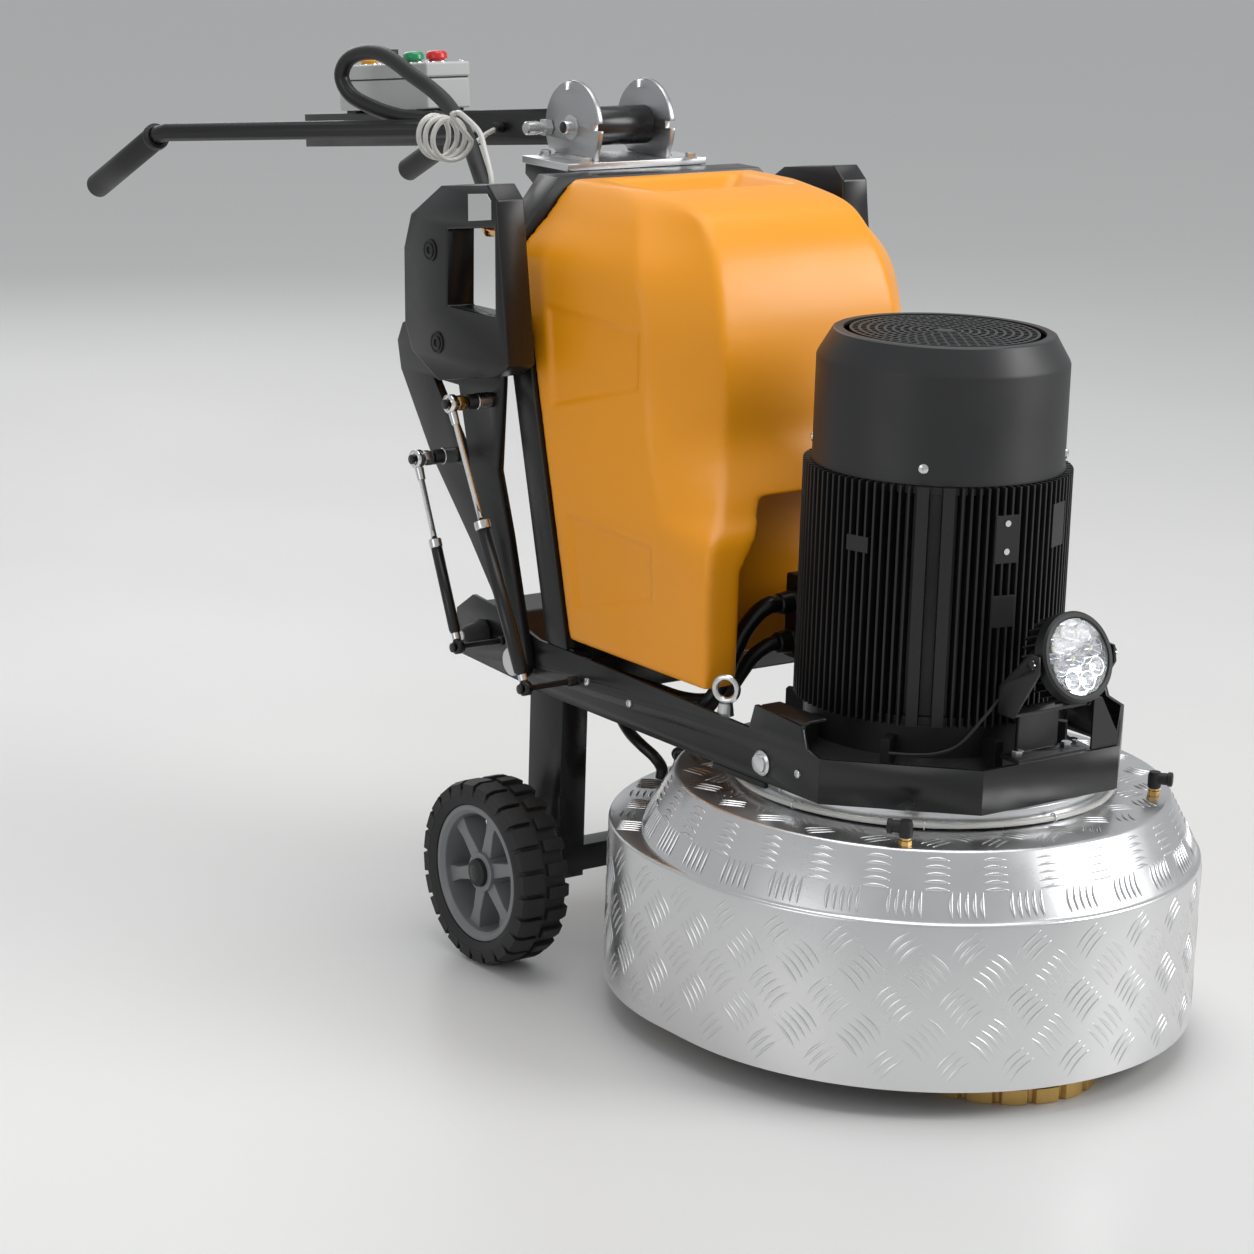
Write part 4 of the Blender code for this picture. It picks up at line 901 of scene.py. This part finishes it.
def lamp():
    stand = towards(LAMP + LAMP_WAY * 0.013, LAMP_WAY)
    case = Shape()
    case.turned([(0.0470, -0.001), (0.0480, 0.0), (0.0530, 0.0), (0.0558, -0.003),
                 (0.0558, -0.018), (0.0500, -0.021), (0.0450, -0.024), (0.0400, -0.0455),
                 (0.0, -0.0455), (0, -0.0125), (0.0465, -0.0125)], stand, 64)
    fins = 28
    for i in range(fins):
        fin = stand @ spin(TURN * i / fins)
        case.block((0.038, -0.0012, -0.045), (0.0535, 0.0012, -0.0195), fin)
    case.finish("lamp_case", CASTING, "lamp", ("lamp_housing",), bevel=0.0005,
                segments=1)
    dish = Shape()
    places = [(0.0, 0.0)] + [polar(0.0310, 0.3 + TURN * i / 8) for i in range(8)]
    dish.turned([(0, -0.0120), (0.0463, -0.0120), (0.0463, -0.0118), (0, -0.0118)], stand, 48)
    for a, b in places:
        cup = stand @ Matrix.Translation((a, b, 0))
        dish.turned([(0.0042, -0.0115), (0.0080, -0.0085), (0.0108, -0.0040),
                     (0.0115, -0.0040), (0.0115, -0.0117), (0.0042, -0.0117)], cup, 24,
                    closed=True)
    dish.finish("lamp_reflectors", CHROME, "lamp", sharp=30)
    chips = Shape()
    for a, b in places:
        chips.block((-0.0016, -0.0016, -0.0117), (0.0016, 0.0016, -0.0108),
                    stand @ Matrix.Translation((a, b, 0)))
    chips.finish("lamp_chips", LAMP_CHIP, "lamp", sharp=30)
    lens = Shape()
    lens.turned([(0, -0.0012), (0.0440, -0.0012), (0.0466, -0.0018), (0.0466, -0.0030),
                 (0, -0.0030)], stand, 48)
    lens.finish("lamp_front_glass", GLASS, "lamp", ("lamp_lens",), sharp=30)
    bolts = Shape()
    for _, side in SIDES:
        bolts.hexagon((LAMP.x, side * 0.0634, LAMP.z), (0, side, 0), 0.011, 0.005)
    for y in (-0.040, 0.040):
        bolts.hexagon((0.219, y, 0.4130), (0, 0, 1), 0.013, 0.006)
    bolts.finish("lamp_bolts", ZINC, "frame", sharp=30)
    wire = smooth_route([(0.221, -0.012, 0.520), (0.205, -0.040, 0.500), (0.196, -0.075, 0.462),
                         (0.186, -0.105, 0.428), (0.172, -0.130, 0.416), (0.150, -0.150, 0.412),
                         (0.125, -0.165, 0.410)])
    Shape().tube(wire, 0.0022, 8).finish("lamp_wire", CABLE, "frame", sharp=60)


lamp()

# ---- frame: plates and their fasteners ------------------------------------------------
for node in ("rail_right", "rail_left", "front_tray", "index_plate_right", "index_plate_left"):
    keep_node(node, STEEL if node.startswith("index") else PAINT, 0.0008)
for node in ("rear_crossbeam", "wheel_frame", "mast_post_right", "mast_post_left",
             "mast_top_bar"):
    keep_node(node, PAINT, 0.002)
keep_node("index_base_plate", ALUMINIUM, 0.001)
keep_node("adapter_plate", ALUMINIUM, 0.0012)
for node in ("gear_case", "planet_drum"):
    keep_node(node, ALUMINIUM)
keep_node("stator", COPPER)
keep_node("motor_rotor", IRON)
keep_node("cooling_fan", RUBBER)
for word, side in SIDES:
    keep_node("weight_arm_" + word, PAINT, 0.0012)
    keep_node("weight_" + word, PAINT, 0.003)
    for size in ("long", "short"):
        keep_node("gas_barrel_%s_%s" % (size, word), PAINT)
        keep_node("gas_rod_%s_%s" % (size, word), CHROME)
    keep_node("grip_" + word, RUBBER)
keep_node("handle_boom", PAINT, 0.0016)


def rail_details():
    for word, side in SIDES:
        face = side * 0.2532
        out = (0, side, 0)
        silver = Shape()
        silver.turned([(0, 0), (0.016, 0), (0.016, 0.0025), (0.0135, 0.0045), (0, 0.0050)],
                      towards((-0.010, face, 0.376), out), 36)
        silver.hoop((-0.107, side * 0.238, 0.446), (0.6, side, 0), 0.0150, 0.0044, 40, 12)
        silver.rod((-0.107, side * 0.238, 0.4275), (-0.107, side * 0.238, 0.4120), 0.009, 0.011)
        silver.rod((-0.107, side * 0.238, 0.4120), (-0.107, side * 0.238, 0.385), 0.005)
        for x, z in ((-0.385, 0.392), (-0.290, 0.385), (0.060, 0.380)):
            silver.pan_screw((x, face, z), out, 0.0055)
        silver.finish("rail_fasteners_" + word, ZINC, "frame", sharp=30)
        trim = Shape()
        lip = [(0.2500, 0.436), (0.2470, 0.4425), (0.2405, 0.4450), (0.2130, 0.4450),
               (0.2130, 0.4412), (0.2390, 0.4412), (0.2440, 0.4392), (0.2462, 0.4350),
               (0.2462, 0.400), (0.2500, 0.400)]
        trim.prism([(side * y, z) for y, z in lip], "YZ", -0.030, 0.062)
        trim.finish("rail_cover_lip_" + word, PAINT, "frame", bevel=0.0008)
        soft = Shape()
        soft.block((-0.110, min(side * 0.2465, side * 0.2535), 0.3440),
                   (-0.004, max(side * 0.2465, side * 0.2535), 0.3516))
        soft.turned([(0, 0), (0.017, 0), (0.019, 0.003), (0.012, 0.030), (0.008, 0.034),
                     (0, 0.034)], towards((-0.630, face, 0.405), out), 28)
        soft.finish("rail_rubber_" + word, RUBBER, "frame", bevel=0.0008)
        Shape().hexagon((-0.630, side * 0.2872, 0.405), out, 0.011, 0.004).finish(
            "bumper_screw_" + word, ZINC, "frame", sharp=30)
    shield = Shape()
    shield.prism([(0.0665, 0.4084), (0.1105, 0.4084), (0.1105, 0.4220), (0.0800, 0.4740),
                  (0.0665, 0.4755)], "YZ", 0.2330, 0.2362)
    shield.finish("tray_corner_shield", PAINT, "frame", bevel=0.0006)
    bed = Shape()
    bed.prism([(-0.695, 0.366), (-0.560, 0.362), (-0.560, 0.402), (-0.600, 0.436),
               (-0.660, 0.442), (-0.695, 0.420)], "XZ", -0.2440, 0.2440)
    bed.finish("rear_ballast_box", PAINT, "frame", bevel=0.003)


rail_details()


# ---- tilt plates and handle -----------------------------------------------------------
PIVOT = Vector((-0.720, 0, 1.079))
BOOM_DROP = math.radians(6.3)
BOOM_UP = Vector((-math.sin(BOOM_DROP), 0, math.cos(BOOM_DROP)))
BOOM_BACK = Vector((-math.cos(BOOM_DROP), 0, -math.sin(BOOM_DROP)))


BOOM_END = 0.780            # along the boom from its pivot


def boom_stand(place):
    """A matrix that lays a shape built level at place, in line with the boom."""
    return Matrix.Translation(place) @ Matrix.Rotation(-BOOM_DROP, 4, "Y")


def on_boom(along, lift, y=0.0):
    return PIVOT + BOOM_BACK * along + BOOM_UP * lift + Vector((0, y, 0))


def tilt_plates():
    silver = Shape()
    base_top = 1.0378
    for _, side in SIDES:
        out = (0, side, 0)
        silver.turned([(0.0088, 0), (0.017, 0), (0.017, 0.0022), (0.0088, 0.0022)],
                      towards((PIVOT.x, side * 0.0652, PIVOT.z), out), 32, closed=True)
        silver.block((-0.752, min(side * 0.0658, side * 0.070), base_top),
                     (-0.668, max(side * 0.0658, side * 0.070), base_top + 0.004))
        for x in (-0.748, -0.650):
            washer = Vector((x, side * 0.088, base_top))
            washer_top = washer + Vector((0, 0, 0.0015))
            silver.rod(washer, washer_top, 0.010)
            silver.hexagon(washer_top, (0, 0, 1), 0.013, 0.0065)
    silver.finish("tilt_plate_fasteners", ZINC, "frame", sharp=30)
    bolt = Shape()
    for _, side in SIDES:
        bolt.socket_screw((PIVOT.x, side * 0.0676, PIVOT.z), (0, side, 0), 0.0100, 0.0120)
    bolt.finish("pivot_bolt_heads", ZINC, "handle", sharp=30)
    low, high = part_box("lock_plunger")
    x, z = (low[0] + high[0]) / 2 - HEAD_X, (low[2] + high[2]) / 2
    near, far = high[1], low[1]
    knob = Shape()
    stand = towards((x, near, z), (0, -1, 0))
    knob.turned([(0, 0), (0.0074, 0), (0.0074, 0.0175), (0.0088, 0.019), (0.0092, 0.030),
                 (0.0092, near - far - 0.002), (0.0075, near - far), (0, near - far)], stand, 32)
    ridges = 26
    for i in range(ridges):
        ridge = stand @ spin(TURN * i / ridges)
        knob.block((0.0088, -0.0005, 0.0215), (0.0095, 0.0005, 0.0375), ridge)
    knob.finish("lock_plunger_knob", ZINC, "plunger_body", ("lock_plunger",), sharp=30)
    nut = Shape()
    nut.turned([(0.0078, 0.0), (0.0125, 0.0), (0.0125, 0.010), (0.0078, 0.010)],
               stand @ Matrix.Translation((0, 0, 0.0006)), 6, closed=True)
    nut.finish("lock_plunger_nut", ZINC, "frame", sharp=30)


tilt_plates()


def handle_details():
    dark = Shape()
    for _, side in SIDES:
        for along in (0.30, 0.36):
            dark.hexagon(on_boom(along, 0.0, side * 0.0262), (0, side, 0), 0.012, 0.005)
    dark.finish("boom_bolts", ZINC, "handle", sharp=30)
    plug = Shape()
    plug.block((-0.002, -0.0235, -0.0225), (0.0035, 0.0235, 0.0225),
               boom_stand(on_boom(BOOM_END, 0.0)))
    plug.finish("boom_end_plug", RUBBER, "handle", bevel=0.0015)
    gland = Shape()
    way = Vector((-13.5, -9.1, 0)).normalized()
    foot = Vector((-1.1100, -0.0310, 1.049)) + way * 0.002
    gland.hexagon(foot, way, 0.0255, 0.006)
    gland.finish("control_cable_gland", RUBBER, "handle", sharp=30)
    for word, side in SIDES:
        start = Vector((-1.485, side * 0.288, 1.000))
        tip = Vector((-1.6932, side * 0.288, 0.8944))
        way = (tip - start).normalized()
        collar = Shape()
        collar.turned([(0.0145, 0.010), (0.0200, 0.010), (0.0208, 0.013), (0.0208, 0.018),
                       (0.0196, 0.021), (0.0145, 0.021)], towards(start, way), 36, closed=True)
        collar.finish("grip_collar_" + word, RUBBER, "handle", sharp=30)


handle_details()


def control_station():
    """The switch box with its lid, bracket, seal and four controls."""
    first, last = 0.405, 0.655
    low, high = 0.029, 0.097
    half = 0.039
    tilt = boom_stand(PIVOT)

    def slab(shape, a, b, low_z, high_z, half_y):
        shape.block((-b, -half_y, low_z), (-a, half_y, high_z), tilt)

    body = Shape()
    slab(body, first + 0.001, last - 0.001, low, high - 0.0235, half - 0.001)
    slab(body, 0.43, 0.63, 0.0253, low + 0.002, 0.020)
    body.finish("control_box_base", BOX, "handle", ("control_box",), bevel=0.0035,
                segments=3)
    lid = Shape()
    slab(lid, first, last, high - 0.0220, high, half)
    lid.finish("control_box_lid", BOX, "handle", bevel=0.0035, segments=3)
    seal = Shape()
    slab(seal, first + 0.003, last - 0.003, high - 0.0245, high - 0.0210, half - 0.003)
    slab(seal, 0.418, 0.445, 0.0250, low + 0.0012, 0.033)
    slab(seal, 0.615, 0.642, 0.0250, low + 0.0012, 0.033)
    seal.finish("control_box_seal", RUBBER, "handle")
    screws = Shape()
    for along in (first + 0.010, last - 0.010):
        for y in (-half + 0.009, half - 0.009):
            screws.pan_screw(on_boom(along, high - 0.0002, y), BOOM_UP, 0.0042)
    screws.finish("control_box_screws", ZINC, "handle", sharp=30)
    collars = Shape()
    places = (("stop_button", 0.435, RED, "stop_button_body"),
              ("start_button", 0.498, GREEN, "start_button_body"),
              ("selector_knob", 0.562, RUBBER, "selector_body"),
              ("yellow_button", 0.625, YELLOW, "yellow_button_body"))
    for name, along, finish, body_name in places:
        knob = name == "selector_knob"
        stand = towards(on_boom(along, high), BOOM_UP)
        collars.turned([(0.0127, 0.0), (0.0162, 0.0), (0.0160, 0.0012), (0.0145, 0.0016),
                        (0.0127, 0.0016)], stand, 40, closed=True)
        cap = Shape()
        if knob:
            cap.turned([(0, 0.012), (0.0130, 0.012), (0.0155, 0.0105), (0.0160, 0.0052),
                        (0.0118, 0.0046), (0.0118, -0.004), (0, -0.004)], stand, 40)
            cap.block((-0.0150, -0.0042, 0.010), (0.0150, 0.0042, 0.0215),
                      boom_stand(on_boom(along, high)))
        else:
            cap.turned([(0, 0.0172), (0.0110, 0.0166), (0.0142, 0.0150), (0.0158, 0.0120),
                        (0.0160, 0.0060), (0.0150, 0.0048), (0.0118, 0.0047),
                        (0.0118, -0.004), (0, -0.004)], stand, 40)
        cap.finish(name + "_cap", finish, body_name, (name,), sharp=40,
                   slot="knob_black" if knob else None)
    collars.finish("button_collars", CHROME, "handle", sharp=30)


control_station()


# ---- weights and gas springs ----------------------------------------------------------
LONG_SPRING = ((-0.409, 0.388), (-0.600, 0.735))        # lower and upper eye, x and z
SHORT_SPRING = ((-0.570, 0.408), (-0.680, 0.646))


def weight_details():
    for word, side in SIDES:
        body = "arm_" + word
        face = side * 0.3128
        out = (0, side, 0)
        dark = Shape()
        for x, z in ((-0.690, 0.927), (-0.669, 0.805)):
            dark.turned([(0.0060, 0.0), (0.0150, 0.0), (0.0150, 0.0016), (0.0130, 0.0026),
                         (0.0118, 0.0010), (0.0060, 0.0010)],
                        towards((x, face, z), out), 32, closed=True)
            dark.socket_screw((x, side * 0.3125, z), out, 0.0095, 0.0030)
        silver = Shape()
        silver.turned([(0, 0), (0.0203, 0), (0.0203, 0.0042), (0.0180, 0.0062), (0, 0.0068)],
                      towards((-0.530, side * 0.2715, 0.390), out), 36)
        for (_, _), (x, z) in (LONG_SPRING, SHORT_SPRING):
            silver.turned([(0.0106, 0), (0.0112, 0.001), (0.0112, 0.020), (0.0106, 0.021)],
                          towards((x, side * 0.2745, z), out), 24, closed=True)
        silver.finish("arm_pivot_cap_" + word, ZINC, body, sharp=30)
        dark.finish("weight_bolts_" + word, CASTING, body, sharp=30)
        plate = Shape()
        plate.prism([(-0.598, 0.9775), (-0.5440, 0.9855), (-0.5455, 1.0095), (-0.5560, 1.0185),
                     (-0.600, 1.0130)], "XZ", side * 0.3127, side * 0.3140)
        plate.finish("weight_strike_" + word, CHROME, body, bevel=0.0004)


def spring_details(word, side, size, ends, barrel_r, barrel_top):
    """End sockets, collar and rod wiper of one gas spring."""
    (x0, z0), (x1, z1) = ends
    y = side * 0.335
    low, high = Vector((x0, y, z0)), Vector((x1, y, z1))
    way = (high - low).normalized()
    collar = Shape()
    collar.turned([(barrel_r + 0.0002, 0), (barrel_r + 0.0010, 0.001), (barrel_r + 0.0010, 0.011),
                   (0.0046, 0.013), (0.0046, 0.0)],
                  towards(low + way * (barrel_top - 0.012), way), 24, closed=True)
    label = "_%s_%s" % (size, word)
    barrel = "%s_barrel_%s" % (size, word)
    collar.finish("gas_collar" + label, ZINC, barrel, sharp=30)
    foot = Shape()
    foot.rod(low + way * 0.010, low + way * 0.026, 0.0062, 0.0058, 20, 0.0008)
    foot.finish("gas_foot" + label, ZINC, barrel, sharp=30)
    head = Shape()
    head.rod(high - way * 0.030, high - way * 0.0122, 0.0055, 0.0062, 20, 0.0008)
    head.finish("gas_head" + label, ZINC, "%s_rod_%s" % (size, word), sharp=30)
    stud = Shape()
    stud.turned([(0.0042, 0.0), (0.0098, 0.0), (0.0108, 0.002), (0.0108, 0.011),
                 (0.0098, 0.013), (0.0042, 0.013)],
                towards((x1, side * 0.3130, z1), (0, side, 0)), 6, closed=True)
    stud.finish("gas_stud_nut" + label, BRASS if size == "long" else ZINC, "arm_" + word,
                sharp=30)


weight_details()
for word, side in SIDES:
    spring_details(word, side, "long", LONG_SPRING, 0.0098, 0.232)
    spring_details(word, side, "short", SHORT_SPRING, 0.0078, 0.150)


# ---- water and dust fittings ----------------------------------------------------------
def elbow(name, place, turn, body):
    """A push-fit elbow: brass thread, black body and release ring."""
    stand = Matrix.Translation(Vector(place)) @ spin(math.radians(turn))
    thread = Shape()
    thread.turned([(0, 0), (0.0078, 0), (0.0078, 0.006), (0.0066, 0.007), (0.0066, 0.010),
                   (0, 0.010)], stand, 6)
    thread.finish(name + "_thread", BRASS, body, sharp=30)
    black = Shape()
    black.turned([(0, 0.010), (0.0078, 0.010), (0.0085, 0.013), (0.0085, 0.026),
                  (0.0070, 0.031), (0, 0.031)], stand, 24)
    black.turned([(0, 0), (0.0076, 0), (0.0076, 0.016), (0.0092, 0.017), (0.0092, 0.022),
                  (0.0070, 0.023), (0, 0.023)],
                 stand @ Matrix.Translation((0, 0, 0.0225)) @ Matrix.Rotation(
                     math.pi / 2, 4, "Y"), 24)
    black.finish(name + "_body", RUBBER, body, sharp=30)


elbow("front_right_elbow", (0.2165, -0.2115, 0.3253), -135, "head")
elbow("front_left_elbow", (0.2180, 0.1980, 0.3253), 40, "head")
elbow("rear_elbow", (-0.372, -0.105, 0.2464), 150, "head")


MIST_R, MIST_Z = 0.2465, 0.3345


def mist_ring():
    """The clear hose laid round the adapter, between the two front elbows."""
    points = []
    for i in range(61):
        t = math.radians(-128 + 176 * i / 60)
        wave = 0.002 * math.sin(7 * t)
        points.append(radial(t, MIST_R + wave, MIST_Z + 0.3 * wave))
    Shape().tube(points, WATER_TUBE_R, 10).finish("mist_hose", CLEAR, "head", sharp=60)
    clips = Shape()
    for angle in (-118, -80, -40, 0, 35):
        t = math.radians(angle)
        clips.hoop(radial(t, MIST_R, MIST_Z), radial(t + math.pi / 2, 1, 0), 0.0052, 0.0010,
                   20, 6)
    clips.finish("mist_hose_clips", ZINC, "head", sharp=60)


mist_ring()


def water_valve():
    """The brass tap at the mast's shoulder, with its red lever, and the cable's gland."""
    x, y, z = -0.683, -0.222, 0.952
    tap = Shape()
    tap.rod((-0.632, y, z), (x - 0.010, y, z), 0.0088, sides=6, edge=0.001)
    tap.turned([(0.0042, 0.0172), (0.0064, 0.0172), (0.0078, 0.013), (0.0088, 0.008),
                (0.0088, -0.006), (0.0070, -0.010), (0, -0.010), (0, 0.010), (0.0042, 0.010)],
               Matrix.Translation((x, y, z)), 24)
    tap.finish("water_tap", BRASS, "frame", sharp=30)
    lever = Shape()
    lever.block((x - 0.006, y - 0.0170, z + 0.010), (x + 0.028, y - 0.0120, z + 0.0165))
    lever.rod((x, y - 0.006, z + 0.002), (x, y - 0.0150, z + 0.012), 0.0045)
    lever.finish("water_tap_lever", RED, "frame", bevel=0.001)
    foot, away = Vector(CONTROL_CABLE[0]), Vector((-0.965, 0, -0.262))
    gland = Shape()
    gland.turned([(0.0121, 0.0), (0.0165, 0.0), (0.0165, 0.007), (0.0150, 0.008),
                  (0.0140, 0.016), (0.0121, 0.018)], towards(foot, away), 24, closed=True)
    gland.finish("control_cable_gland_low", RUBBER, "frame", sharp=30)


water_valve()


def conduit():
    """The ribbed conduit that runs down beside the right mast post into the frame."""
    route = smooth_route([(-0.512, -0.2180, 0.690), (-0.515, -0.2180, 0.640),
                          (-0.520, -0.2175, 0.560), (-0.517, -0.2160, 0.490),
                          (-0.505, -0.2150, 0.440), (-0.490, -0.2150, 0.405)], 8)
    Shape().tube(route, 0.0082, 14, ridges=0.0013).finish("ribbed_conduit_right", RUBBER,
                                                          "frame", sharp=60)


conduit()


# ---- floor and light ------------------------------------------------------------------
def stage():
    mesh = bpy.data.meshes.new("floor")
    half = 60.0
    mesh.from_pydata([(-half, -half, 0), (half, -half, 0), (half, half, 0), (-half, half, 0)],
                     [], [(0, 1, 2, 3)])
    floor = add_object("floor", mesh, (0, 0, -0.0004))
    mesh.materials.append(material("pale_floor", (0.76, 0.755, 0.74), 0.42, grain=60,
                                   depth=0.0002, shade=0.03, patch=1.5, spread=0.04))
    scene = bpy.context.scene
    scene.view_settings.view_transform = "Standard"
    world = bpy.data.worlds.new("studio")
    world.use_nodes = True
    set_inputs(world.node_tree.nodes["Background"],
               {"Color": (0.84, 0.86, 0.88, 1), "Strength": 0.56})
    scene.world = world
    for name, place, size, power in (("key", (4.2, 3.6, 3.4), 2.6, 170),
                                     ("top", (0.2, 0.4, 4.2), 3.0, 62),
                                     ("fill", (1.0, -4.8, 2.2), 2.4, 24),
                                     ("back", (-4.4, 1.2, 2.8), 2.6, 42)):
        data = bpy.data.lights.new(name, "AREA")
        data.shape = "SQUARE"
        data.size = size
        data.energy = power
        light = add_object(name, data, place)
        way = Vector((0, 0, 0.5)) - Vector(place)
        light.rotation_euler = way.to_track_quat("-Z", "Y").to_euler()


stage()
